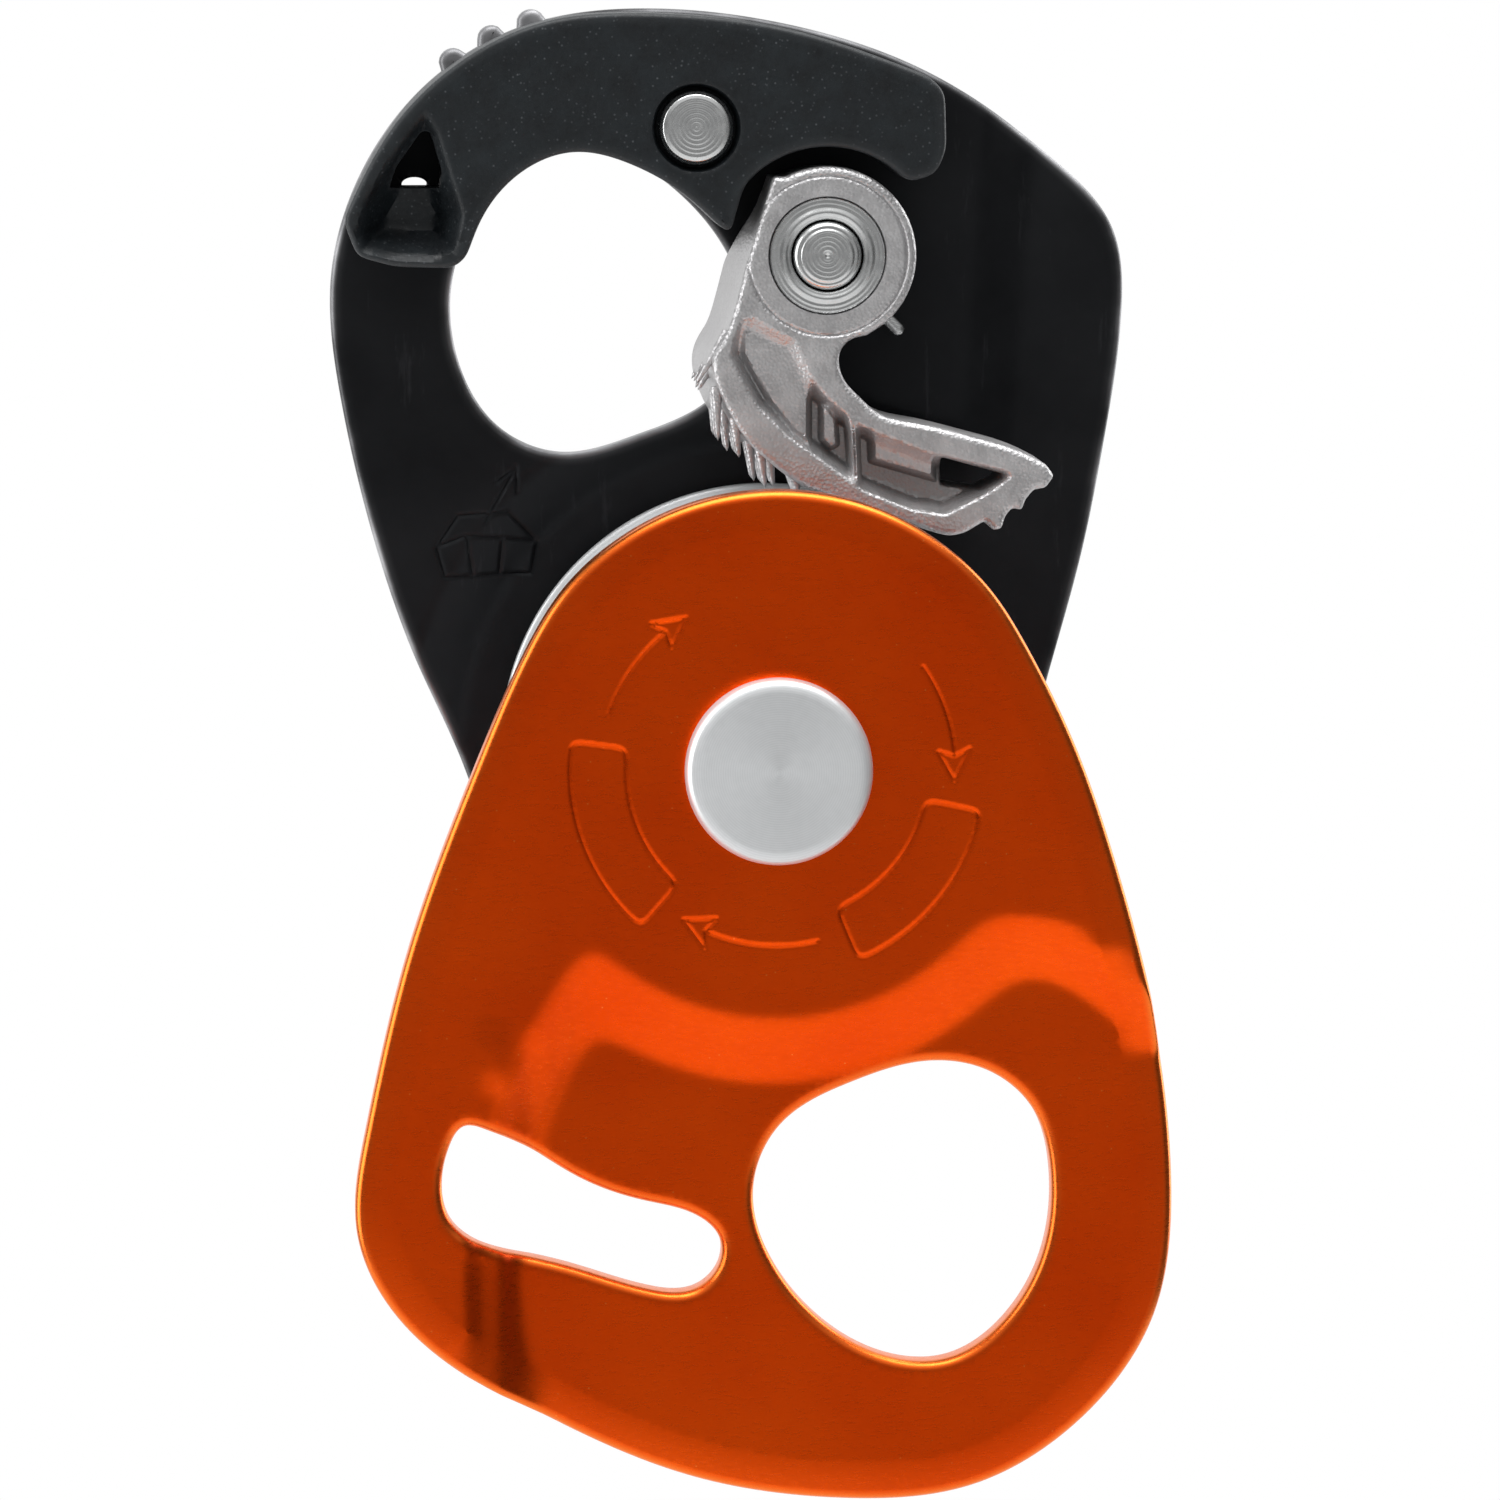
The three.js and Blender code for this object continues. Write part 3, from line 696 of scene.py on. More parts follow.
def sheet(loops, front, rear, pitch, rear_pitch, lines=(), fine=None, mark=None):
    """Two relief faces joined by edge bands: each loop brings rows of (inset, counted from rear, depth).

    Its edge value is 1 on the edge and falls as a bell over the reach set above; finishes use it for wear,
    and on the orange cheek and the grips also for painted highlight."""
    points, faces, wear, start = [], [], [], 0
    rims = ([], [])
    for loop, rows in loops:
        normal = outward(loop)
        for inset, from_rear, depth in rows:
            x, z = (loop - normal * inset).T
            y = rear(x, z) - depth if from_rear else front(x, z) + depth
            points.append(np.column_stack([x, y, z]))
            wear.append(np.exp(-(np.broadcast_to(inset, (len(x), 1))[:, 0] / EDGE_REACH) ** 2))
        faces.append(start + quads(len(rows), len(loop)))
        start += len(rows) * len(loop)
        rims[0].append(points[-len(rows)][:, [0, 2]])
        rims[1].append(points[-1][:, [0, 2]])
    for rim, height, step, extra in ((rims[0], front, pitch, lines), (rims[1], rear, rear_pitch, ())):
        plan, triangles = net(rim, step, extra, fine)
        points.append(np.column_stack([plan[:, 0], height(*plan.T), plan[:, 1]]))
        faces.append(start + (triangles if height is front else triangles[:, ::-1]))
        wear.append(np.zeros(len(plan)))
        start += len(plan)
    points = np.vstack(points)
    marks = {"wear": np.concatenate(wear)}
    # On the cam, an optional value paints shade into the pockets by their depth; it is stored on the front
    # points.
    if mark is not None:
        marks["recess"] = mark(points[:, 0], points[:, 2]) * (points[:, 1] < 0)
    return points, faces, marks


def edge_rows(front_round, rear_round, bevel=(0, 0), steps=6):
    """Rows of a plate edge: an optional shallow bevel (width, depth), quarter round, wall, quarter round."""
    turn = np.radians(np.linspace(0, 90, steps + 1))
    drop = bevel[1]
    rows = [(bevel[0] + front_round, False, 0.0)] if bevel[0] else []
    rows += [(front_round * (1 - np.sin(a)), False, drop + front_round * (1 - np.cos(a))) for a in turn]
    rows += [(rear_round * (1 - np.cos(a)), True, rear_round * (1 - np.sin(a))) for a in turn]
    return rows


# %% [markdown]
# ## The formed sheets
#
# Both cheeks are stamped from 2.4 mm sheet. They lie flat beside the sheave and step 2 mm towards the
# middle near the eye, so that the two come close where a carabiner holds them. The step follows the
# round of the sheave, and folds beside it keep the corners full. Each fold is a slope that passes from 0
# to 1, and the sheet follows the lowest of them, with a round corner where two folds meet.

# %% Steps of the cheeks
OUTER_FACE, INNER_FACE, STEP, STEP_WIDTH = 9.0, 6.6, 2.0, 3.4


def dish(x, z, start):
    """0 on a circle about the axle, 1 at one step's width outside it."""
    return (np.hypot(x, z) - start) / STEP_WIDTH


def lowest(*values, round_off=0.28):
    """The smallest value with its corners rounded: minus the logarithm of the sum of exponentials."""
    return -round_off * np.log(sum(np.exp(-np.clip(v, -9, 9) / round_off) for v in values))


def swing_step(x, z, late=0.0):
    """How far the front cheek steps in: below a sloping fold, outside a circle, between two side folds."""
    low_fold = (-7.9 - 0.16 * (x - 8) - late - z) / 2.9
    u = z + 28
    left_fold = (x + 18.3 - late - 0.075 * u - 0.0189 * u * u) / STEP_WIDTH
    right_fold = (18.8 - late - x + 1.1 * np.clip(-10.5 - z, 0, 30)) / 3.6
    return STEP * ramp(lowest(dish(x, z, 15.0 + late), low_fold, left_fold, right_fold))


def fixed_step(x, z, late=0.0):
    """How far the rear cheek steps in: outside a circle, and left of a fold down its right side."""
    right_fold = (14.8 + 0.067 * (z - 30) - x - late) / STEP_WIDTH + 0.5
    return STEP * ramp(lowest(dish(x, z, 17.6 + late), right_fold))


LATE = 0.6
print("step at the slot", swing_step(np.array([0.0]), np.array([-30.0])).round(2), "mm")

# %% [markdown]
# ## Front cheek
#
# The orange cheek is an egg shape with a round crown over the sheave, an eye and a curved slot. The slot
# keeps about one distance from the axle: when the cheek closes, its end arrives at the cam's pin.
# Three arrows and two pads, pressed in as fine grooves, show that it turns. Modelling the grooves gives
# them a lit and a shaded side from every angle, which a painted line doesn't have.

# %% Front cheek outline
def facing(loop, anticlockwise=True):
    """The loop, anticlockwise for the rim of a sheet or clockwise for a hole: its area's sign says which."""
    x, z = loop.T
    area = (x * np.roll(z, -1) - np.roll(x, -1) * z).sum()
    return loop if (area > 0) == anticlockwise else loop[::-1]


def swing_outline():
    """Crown arc, then the egg's left and right sides, as one closed spline."""
    left = [(-14.7, 6.9), (-17.6, 0.3), (-21.6, -10.6), (-24.2, -21.5), (-24.7, -27.2), (-22.1, -32.6),
            (-15, -37.8), (-4.9, -42.3), (4.2, -43.7), (11.6, -43)]
    right = [(17.9, -39.3), (22.5, -32.8), (23.5, -25), (22.2, -14.3), (19.9, -5.6), (17.7, 0.8), (14.6, 7.2)]
    return spline(np.vstack([arc(16.3, 40, 140, 7), left, right]), 0.3)


def carabiner_eye():
    """The front cheek's large eye."""
    return spline([(8.8, -17.6), (4.5, -18.8), (0.3, -21.3), (-1.3, -25.1), (-0.2, -29.4), (2.6, -32.9),
                   (6.4, -35.1), (10.2, -35.3), (13.8, -32.8), (15.9, -28.8), (16.3, -24.2), (15.2, -20.4),
                   (12.4, -18.1)], 0.25)


def latch_slot():
    """The slot that passes the cam pin: about one radius from the axle all along."""
    return spline([(-18.4, -21), (-16.9, -21.3), (-15.1, -22.2), (-11.7, -24.3), (-7.6, -25.8), (-4.6, -26.7),
                   (-3.3, -28), (-3.3, -29.5), (-4.7, -31), (-7.6, -31), (-12.6, -29.5), (-17.5, -28),
                   (-19.2, -26.6), (-19.7, -24.6), (-19.3, -22.3)], 0.2)


# %% Pressed marks
def turn_arrow(start, end, radius=10.4, head=10, half=0.95):
    """A tail along the circle and a notched head, both as closely spaced points."""
    direction = np.sign(end - start)
    tail = arc(radius, start, end - direction * head * 0.8, 40)
    corners = [(radius, end), (radius + half, end - direction * head), (radius, end - direction * head * 0.8),
               (radius - half, end - direction * head)]
    outline = np.vstack([arc(r, a, a, 0) for r, a in corners])
    return [even(tail, 0.12, closed=False), even(outline, 0.12)]


def pad(start, end, near=8.9, far=12.2):
    """Outline of a bent bar between two radii."""
    corners = np.vstack([arc(far, start, end, 10), arc(near, end, start, 10)])
    return even(soften(even(corners, 0.1), 0.42), 0.12)


def groove(x, z, strokes, width, depth):
    """Depth of a rounded groove: a cosine of the distance to the nearest stroke."""
    distance = gap(np.column_stack([x, z]), np.vstack(strokes))
    return depth * 0.5 * (1 + np.cos(np.pi * np.clip(distance / width * 2, 0, 1)))


# each flute: its x, width, depth, lower end and upper end
FLUTES = ((-16.7, 0.75, -0.20, -19.2, -14.6), (-17.6, 0.55, 0.16, -40, -27.4),
          (-16.2, 0.5, -0.14, -40, -27.2), (-14.5, 0.7, 0.10, -26, -15.2))
FLUTE_END = 1.6


def flutes(x, z):
    """Shallow upright waves that the press leaves beside the left fold: a bell across, faded at both ends."""
    height = np.zeros_like(x)
    for middle_x, width, depth, low, high in FLUTES:
        fade = ramp((z - low) / FLUTE_END) * ramp((high - z) / FLUTE_END)
        height = height + depth * fade * np.exp(-((x - middle_x) / width) ** 2)
    return height


MARKS = turn_arrow(162, 121) + turn_arrow(35, -4) + turn_arrow(-77, -122) + [pad(172, 229), pad(-12, -67)]


# %% Front cheek
def swing_front(x, z):
    """The cheek's outer face with its flutes and grooves."""
    return -OUTER_FACE + swing_step(x, z) + flutes(x, z) + groove(x, z, MARKS, 0.38, 0.08)


def swing_rear(x, z):
    """The inner face; it steps in a little later, clear of the sheave."""
    return -INNER_FACE + swing_step(x, z, LATE)


rim = edge_rows(0.6, 0.3, bevel=(1.6, 0.13))
swing_loops = [(facing(swing_outline()), rim)]
for hole in (carabiner_eye(), latch_slot()):
    swing_loops.append((facing(hole, False), edge_rows(0.6, 0.4)))
swing_loops.append((facing(arc(4.3, 0, 355, 71), False), edge_rows(0.2, 0.2, steps=3)))
points, faces, marks = sheet(swing_loops, swing_front, swing_rear, 0.42, 0.9, MARKS, (0.11, 0.4))
piece("swing_cheek", "swing_side", "orange_anodised", points, faces, "orange_anodised",
      ("swing_plate",), **marks)

# %% [markdown]
# ## Rear cheek
#
# The black cheek has a round heel under the sheave and carries the attachment eye. Three small bumps on
# its upper edge give a thumb some grip. They are made by pushing the outline out in half circles, so
# they have the same rounded edge as the rest of the sheet.

# %% Rear cheek
GRIPS = np.array([(-18.5, 40.9), (-16.2, 42.2), (-13.9, 43.2)])


def fixed_outline():
    """Heel arc and rim as one spline, pushed out by the square root of r² - t² beside each grip bump."""
    rim = [(15.2, -5), (16.2, 0), (17.5, 5), (19.2, 11.3), (20.6, 18.4), (21.6, 26), (21, 31.1),
           (17.3, 35.3), (9.6, 40.5), (1.2, 43.3),
           (-7.4, 44.2), (-14.6, 43.1), (-20.5, 39.4), (-24.4, 33.8), (-25.9, 28.4), (-25.4, 21.2),
           (-23.2, 11.8), (-20.8, 5), (-18.2, -0.9)]
    loop = spline(np.vstack([arc(17.4, 203, 320, 9), rim]), 0.2)
    reach = np.linalg.norm(loop[:, None] - GRIPS, axis=-1).min(1)
    return loop + outward(loop) * np.sqrt(np.clip(0.85 ** 2 - reach ** 2, 0, None))[:, None]


def attachment_eye():
    """The rear cheek's eye."""
    return spline([(-11.3, 35.7), (-15.2, 34.6), (-17.7, 31.2), (-18.8, 27), (-18.2, 22.8), (-16, 19.3),
                   (-12.2, 17.7), (-7.6, 18.7), (-3.4, 20.7), (-1.2, 24), (-2, 29.2), (-5, 33.1),
                   (-8, 35.1)], 0.25)


def circle(radius, centre=(0, 0), pitch=0.2):
    """A full circle of evenly spaced points."""
    count = max(24, int(2 * np.pi * radius / pitch))
    return arc(radius, 0, 360 - 360 / count, count - 1, centre)


LOAD_MARK = [even(np.array(stroke), 0.12, closed=False) for stroke in (
    [(-18.4, 14.0), (-15.4, 14.2), (-13.6, 12.3), (-14.0, 10.4), (-19.2, 10.3), (-19.7, 12.1), (-18.4, 14.0)],
    [(-19.7, 12.1), (-17.9, 12.8), (-15.7, 12.6), (-13.6, 12.3)], [(-17.9, 12.8), (-17.5, 10.4)],
    [(-15.7, 12.6), (-15.9, 10.4)], [(-16.8, 13.6), (-14.9, 16.9)],
    [(-16.1, 16.0), (-14.9, 16.9), (-14.9, 15.4)])]


def fixed_front(x, z):
    """The inner face of the rear cheek, which looks at the sheave, with a pressed sign for the load."""
    return INNER_FACE - fixed_step(x, z, LATE) + groove(x, z, LOAD_MARK, 0.42, 0.14)


def fixed_rear(x, z):
    """The outer face of the rear cheek."""
    return OUTER_FACE - fixed_step(x, z)


fixed_loops = [(facing(fixed_outline()), edge_rows(0.4, 0.5, bevel=(0.45, 0.02))),
               (facing(attachment_eye(), False), edge_rows(0.4, 0.5, bevel=(0.45, 0.02)))]
for radius, centre in ((4.3, (0, 0)), (2.35, CAM), (1.5, RIVET)):
    fixed_loops.append((facing(circle(radius, centre), False), edge_rows(0.2, 0.2, steps=3)))
cord_slit = circle(0.42, (0, 0), 0.1) * (1.8, 1) + (-20.93, 33.78)
fixed_loops.append((facing(cord_slit, False), edge_rows(0.08, 0.08, steps=2)))
points, faces, marks = sheet(fixed_loops, fixed_front, fixed_rear, 0.6, 0.6, LOAD_MARK, (0.13, 0.5))
# At the thumb grips the edge value is raised to 1, so they show bare grey: worn metal, and also a painted
# highlight for their bright glint.
to_grip = np.linalg.norm(points[:, None, [0, 2]] - GRIPS, axis=-1).min(1)
marks["wear"] = np.maximum(marks["wear"], ramp((1.5 - to_grip) / 0.5))
piece("fixed_cheek", "fixed_side", "black_anodised", points, faces, "black_anodised",
      ("fixed_plate",), **marks)

# %% [markdown]
# ## Wear insert
#
# A moulded nylon block keeps the cheeks apart at the eye and carries the carabiner. It has a pocket with
# sloping walls at its left end and a counterbored rivet. As a moulding it has generous round edges, and
# a relief function sinks the pocket: depth grows with the distance in from the pocket's edge.

# %% Insert
def depth_inside(x, z, loop, wall):
    """0 outside a loop, rising to 1 at a distance wall inside it."""
    here = np.column_stack([x, z])
    return ramp(np.where(inside(here, loop), gap(here, loop), 0) / wall - 0.15)


def insert_outline():
    """The block's outer curve, its nose, the arc that clears the cam, its tail, mouth and foot."""
    outer = spline([(-25.2, 31.9), (-22.4, 37.2), (-18.3, 41.2), (-13.4, 43.5), (-7.4, 44), (0.8, 43.1),
                    (9.2, 40.3)], 0.2, closed=False)
    nose = [(10.1, 39.4), (10.2, 36), (9.6, 34.6), (8.4, 34.2)]
    tail = [(-2.3, 31.9), (-2.4, 31.2), (-2.8, 31.2)]
    mouth = spline([(-2.8, 31.2), (-5.2, 33.4), (-8.4, 35.2), (-11.7, 35.9), (-14.8, 34.7), (-17.1, 32),
                    (-18, 29.7)], 0.2, closed=False)
    foot = [(-18.8, 29.1), (-22.2, 29.2), (-24.4, 29.8)]
    path = np.vstack([outer, nose, arc(6.4, 42, 140, 40, CAM), tail, mouth[1:], foot])
    return soften(even(path, 0.15), 0.42)


POCKET = soften(even(np.array([(-20.3, 38.6), (-21.2, 37.7), (-22.4, 36.1), (-24.2, 33.2), (-24.7, 31.2),
                               (-24.3, 29.9), (-22.6, 29.6), (-19.6, 29.5), (-18.4, 29.9), (-17.9, 32.3),
                               (-18.6, 34.5), (-19.4, 37.2)]), 0.12), 0.3)
TIE_HOLE = soften(even(np.array([(-22.5, 33.75), (-19.5, 33.75), (-19.4, 34.8), (-20.1, 37.1), (-20.6, 37.1),
                                 (-22.1, 35)]), 0.1), 0.14)
BLOCK_FRONT, BLOCK_REAR = -4.2, 4.3


def insert_relief(x, z):
    """Depth of the pocket, whose floor slopes, and of the rivet's counterbore."""
    pocket = (3.2 - 0.12 * (z - 30)) * depth_inside(x, z, POCKET, 1.5)
    bore = 1.4 * ramp((2.6 - np.hypot(x - RIVET[0], z - RIVET[1])) / 0.25)
    return np.maximum(pocket, bore)


def insert_front(x, z):
    """Front face of the block."""
    return BLOCK_FRONT + insert_relief(x, z)


def insert_rear(x, z):
    """Flat back of the block."""
    return np.full_like(x, BLOCK_REAR)


insert_loops = [(facing(insert_outline()), edge_rows(0.32, 0.3, bevel=(0.4, 0.03))),
                (facing(circle(1.5, RIVET), False), edge_rows(0.1, 0.1, steps=2)),
                (facing(TIE_HOLE, False), edge_rows(0.12, 0.12, steps=3))]
insert_lines = [POCKET, circle(2.6, RIVET, 0.12), circle(2.35, RIVET, 0.12)]
points, faces, marks = sheet(insert_loops, insert_front, insert_rear, 0.4, 0.9, insert_lines, (0.16, 1.4))
piece("insert", "fixed_side", "black_nylon", points, faces, "black_nylon", ("eye_insert",), **marks)

front, back = np.array(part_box("insert_rivet"))[:, 1] / MM
turned("insert_rivet", "fixed_side", "turned_steel", "rivet_steel",
       [(0, front), (1.85, front), (2.2, front + 0.35), (2.2, front + 1.1), (1.2, front + 1.1),
        (1.2, back - 0.8), (2.2, back - 0.8), (2.0, back - 0.1), (0, back)], centre=RIVET)

# %% [markdown]
# ## Axle, cap and washers
#
# The axle is a tube through both cheeks with a flat head behind. The cap is pressed into its front end
# and keeps the cheek on. All are lathe work: a profile of radius against depth is turned about the axle,
# and every corner of it gets the small radius that a deburring tool leaves.

# %% Turned parts about the axle
turned("main_axle", "fixed_side", "turned_steel", "axle_steel",
       [(2.5, -8.9), (4, -8.9), (4, 9.3), (6.2, 9.3), (6.2, 10.2), (5.6, 10.8), (2.5, 10.8)], 0.2)
turned("axle_cap", "fixed_side", "grey_alloy", "grey_alloy",
       [(0, -11.2), (5.5, -11.2), (5.5, -9.3), (2.2, -9.3), (2.2, -3), (0, -3)], 0.9)
turned("pivot_washer", "fixed_side", "pale_plastic", "pale_plastic",
       [(4.3, -6.3), (7, -6.3), (7, -5.9), (4.3, -5.9)], 0.1)
turned("spacer_front", "fixed_side", "turned_steel", "axle_steel",
       [(4.3, -5.6), (6, -5.6), (6, -3.8), (4.3, -3.8)])
turned("spacer_rear", "fixed_side", "turned_steel", "axle_steel",
       [(4.3, 3.8), (6, 3.8), (6, 6.3), (4.3, 6.3)])

# %% [markdown]
# ## Sheave and bearing
#
# The rope runs in a round groove. The sheave turns on a ball bearing: two races with round tracks, nine
# balls held apart by a bronze cage, and a seal at each side. The groove and the tracks are arcs in the
# profiles, so they stay round however close one looks.

# %% Sheave, races and seals
SHEAVE_RADIUS, GROOVE_CENTRE, GROOVE_RADIUS = 15.9, 17.25, 4.75


def track(pitch_radius, bore, reach, away):
    """Arc of a raceway or rope groove in section, from -reach to +reach degrees."""
    deep, y = arc(bore, -reach, reach, 24).T
    return np.column_stack([pitch_radius + (deep if away else -deep), y])


reach = np.degrees(np.arccos((GROOVE_CENTRE - SHEAVE_RADIUS) / GROOVE_RADIUS))
side = np.array([(9.8, 4), (10.6, 4), (11.3, 5.6), (14.6, 5.6), (15.5, 5.4), (SHEAVE_RADIUS, 5)])
rope_groove = track(GROOVE_CENTRE, GROOVE_RADIUS, reach, False)
turned("sheave", "rope_wheel", "grey_alloy", "grey_alloy",
       np.vstack([side * [1, -1], rope_groove, side[::-1]]), 0.25, columns=192)
turned("inner_race", "fixed_side", "turned_steel", "axle_steel",
       np.vstack([[(4.3, -3.5), (6, -3.5)], track(6.75, 1.5, 60, False), [(6, 3.5), (4.3, 3.5)]]))
turned("outer_race", "rope_wheel", "turned_steel", "axle_steel",
       np.vstack([[(9.5, 3.5), (7.5, 3.5)], track(6.75, 1.5, 60, True)[::-1], [(7.5, -3.5), (9.5, -3.5)]]))
for name, y in (("bearing_seal_front", -3.15), ("bearing_seal_rear", 2.65)):
    turned(name, "rope_wheel", "seal_rubber", "seal_rubber",
           [(6.3, y), (6.6, y + 0.08), (6.9, y), (7.2, y), (7.2, y + 0.5), (6.3, y + 0.5)], 0.06)

# %% Balls and cage
for i in range(9):
    name = f"bearing_ball_{i + 1}"
    seat = (middle(name) - AXLE)[[0, 2]] / MM
    half_circle = arc(1.2, -90, 90, 24)
    points, faces = lathe(half_circle, 48, seat)
    piece(name + "_ground", "ball_train", "turned_steel", points, faces, "axle_steel", (name,))

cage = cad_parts["ball_cage"]
cage.data.materials.clear()
cage.data.materials.append(FINISH["bronze"])

# %% [markdown]
# ## Cam body
#
# The cam is a casting: a round hub, a biting face with slender teeth and a lever for the thumb. Webs and
# pockets lighten its front. Its relief is built up in layers, as a pattern maker would lay it out: a
# deep pocket first, then raised panels and a rib that each win over what lies under them.

# %% Cam outline
HUB = 5.24
CAM_FACES = -4.2, 3.2
BITE = [(-4.9, -0.9), (-5.5, -3.2), (-6.1, -4.8), (-6.7, -5.9), (-6.75, -6.8), (-6.4, -7.9), (-5.8, -9.2),
        (-4.6, -11), (-3.1, -12.4), (-1.4, -13.6), (2, -14.9), (4.4, -15.7), (6.3, -16.3), (7.3, -16.5),
        (8.2, -16.3)]
GRIP = [(9.3, -15.65), (9.8, -16.2), (10.3, -16.1), (10.5, -15.4), (10.9, -14.9), (11.5, -15.0),
        (11.7, -14.4), (12.2, -13.8), (12.9, -13.7), (13.4, -13)]
LEVER = [(12.9, -12.3), (11.3, -11.5), (8.7, -10.7), (5, -9.8), (2.9, -9.2), (1.9, -8.3), (1, -7.3),
         (0.7, -6.4), (0.75, -5.7), (1.2, -5.05), (2.3, -4.7)]


def cam_outline():
    """Hub arc with its square lug, the biting face, the notched grip and the lever's upper side."""
    hub = arc(HUB, -50, 118, 60)
    path = np.vstack([hub, [(-3.2, 4.65)], spline(BITE, 0.1, closed=False), GRIP,
                      spline(LEVER, 0.1, closed=False)])
    return soften(even(path, 0.09), 0.13) + CAM


def loop_about_cam(points, rounding=0.18):
    """A closed shape given about the cam's own axis, with softened corners."""
    return soften(even(np.array(points), 0.08), rounding) + CAM


# %% Cam relief
WELL = loop_about_cam([(-5.1, -3.6), (-4.3, -3.4), (-3.3, -4.1), (-1.8, -4.8), (-1.3, -5.8), (-0.6, -7.4),
                       (0, -8.2), (0.9, -9), (2, -9.9), (6.4, -11.6), (10.7, -12.6), (11, -13.1),
                       (9.4, -14.2), (7, -15.4), (5, -15.1), (2, -13.9), (0, -12.4), (-2.4, -10.7),
                       (-4.2, -8.9), (-5.3, -7), (-5.8, -5.9), (-5.6, -4.8)])
FAN = loop_about_cam([(-5.3, -4.6), (-5.3, -3.0), (-4, -2.6), (-1.3, -4.2), (-0.9, -5.6), (-0.4, -6.9),
                      (-0.8, -8.6), (-0.8, -11.6), (-2.2, -10.5), (-3.8, -8.5), (-4.8, -6.8),
                      (-5.3, -5.7)], 0.14)
STEPPED = loop_about_cam([(-0.5, -8.6), (0.2, -8.8), (0.75, -9.6), (0.85, -11.3), (0.2, -11.6),
                          (-0.5, -10.9)], 0.14)
RIB = loop_about_cam([(0.95, -8.2), (1.9, -9.2), (2.05, -10.4), (2.15, -13.3), (1.85, -14.2), (1.25, -13.8),
                      (1.2, -12.2), (1.0, -9.8)], 0.1)
RIB_GROOVE = loop_about_cam([(1.45, -10.0), (1.62, -10.0), (1.78, -13.1), (1.6, -13.1)], 0.06)
PANEL = loop_about_cam([(2.35, -10.2), (2.9, -9.6), (6.6, -11.0), (6.6, -13.5), (2.45, -12.3)], 0.14)
WINDOW = loop_about_cam([(6.7, -11.85), (10.5, -12.9), (10.4, -13.2), (9.1, -13.9), (6.8, -13.6)], 0.15)
# each layer: its loop, its depth below the rims and the width of its wall
LAYERS = [(FAN, 0.45, 0.4), (STEPPED, 0.6, 0.3), (PANEL, 0.55, 0.4), (RIB, 0.15, 0.3),
          (RIB_GROOVE, 0.4, 0.1)]
WELL_DEPTH, WELL_WALL = 1.7, 0.7


def cam_relief(x, z):
    """Depth below the rims: a walled well, whose level each layer replaces inside its own loop."""
    level = np.full_like(x, WELL_DEPTH)
    for loop, height, wall in LAYERS:
        share = depth_inside(x, z, loop, wall)
        level = level * (1 - share) + height * share
    out = np.hypot(x - CAM[0], z - CAM[1])
    ring_groove = 0.12 * 0.5 * (1 + np.cos(np.pi * np.clip(np.abs(out - 4.68) / 0.16, 0, 1)))
    seat = 1.0 * ramp((3.47 - out) / 0.1)
    return level * depth_inside(x, z, WELL, WELL_WALL) + ring_groove + seat


def cam_front(x, z):
    """The cam's front, with its webs and pockets."""
    return CAM_FACES[0] + cam_relief(x, z)


def cam_rear(x, z):
    """The cam's back, flat but for the round pocket that holds the spring."""
    return CAM_FACES[1] - 2.8 * ramp((4.9 - np.hypot(x - CAM[0], z - CAM[1])) / 0.3)


# %% Cam
rim = facing(cam_outline())
on_the_bite = ramp((CAM[0] - 3.6 - rim[:, 0]) / 1.2) * ramp((rim[:, 1] - CAM[1] + 13) / 4)
swept = (0.9 * on_the_bite)[:, None]
flank = [(inset - swept * from_rear, from_rear, depth) for inset, from_rear, depth in edge_rows(0.42, 0.35)]
cam_loops = [(rim, flank),
             (facing(circle(3.1, CAM, 0.12), False), edge_rows(0.12, 0.12, steps=3)),
             (facing(WINDOW, False), edge_rows(0.2, 0.2, steps=3))]
cam_lines = [WELL] + [loop for loop, _, _ in LAYERS] + [circle(r, CAM, 0.1) for r in (4.68, 3.5, 3.38)]
# Painted shade: the pockets are darkened where the relief sinks more than 0.9 mm, up to three quarters.
points, faces, marks = sheet(cam_loops, cam_front, cam_rear, 0.2, 0.5, cam_lines, (0.1, 0.5),
                             mark=lambda x, z: np.clip((cam_relief(x, z) - 0.9) / 0.9, 0, 0.75))
piece("cam_casting", "cam", "cast_steel", points, faces, "cast_steel", ("toothed_cam",), **marks)

# %% [markdown]
# ## Teeth
#
# The teeth are cast slender and slanted, so that they catch the rope's sheath without cutting it. They
# stand in staggered rows and get shorter towards the lever. All of them come from one formula: a point
# goes along the tooth's own line while its distance from that line shrinks to a small round tip.

# %% Teeth
# each row: where its teeth stand about the cam's axis, the way they lean and how long they are
TOOTH_ROWS = [((-6.1, -4.9), (-0.52, -0.85), 3.1), ((-6.4, -6.0), (-0.50, -0.87), 2.3),
              ((-6.5, -8.2), (0.03, -1.0), 2.7), ((-6.0, -9.2), (0.08, -1.0), 2.4),
              ((-5.4, -10.0), (0.12, -1.0), 1.9),
              ((-4.5, -11.1), (0.12, -1.0), 2.3), ((-3.9, -11.7), (0.14, -1.0), 2.0),
              ((-3.3, -12.2), (0.16, -1.0), 1.5), ((-1.9, -13.1), (0.2, -0.98), 1.2)]


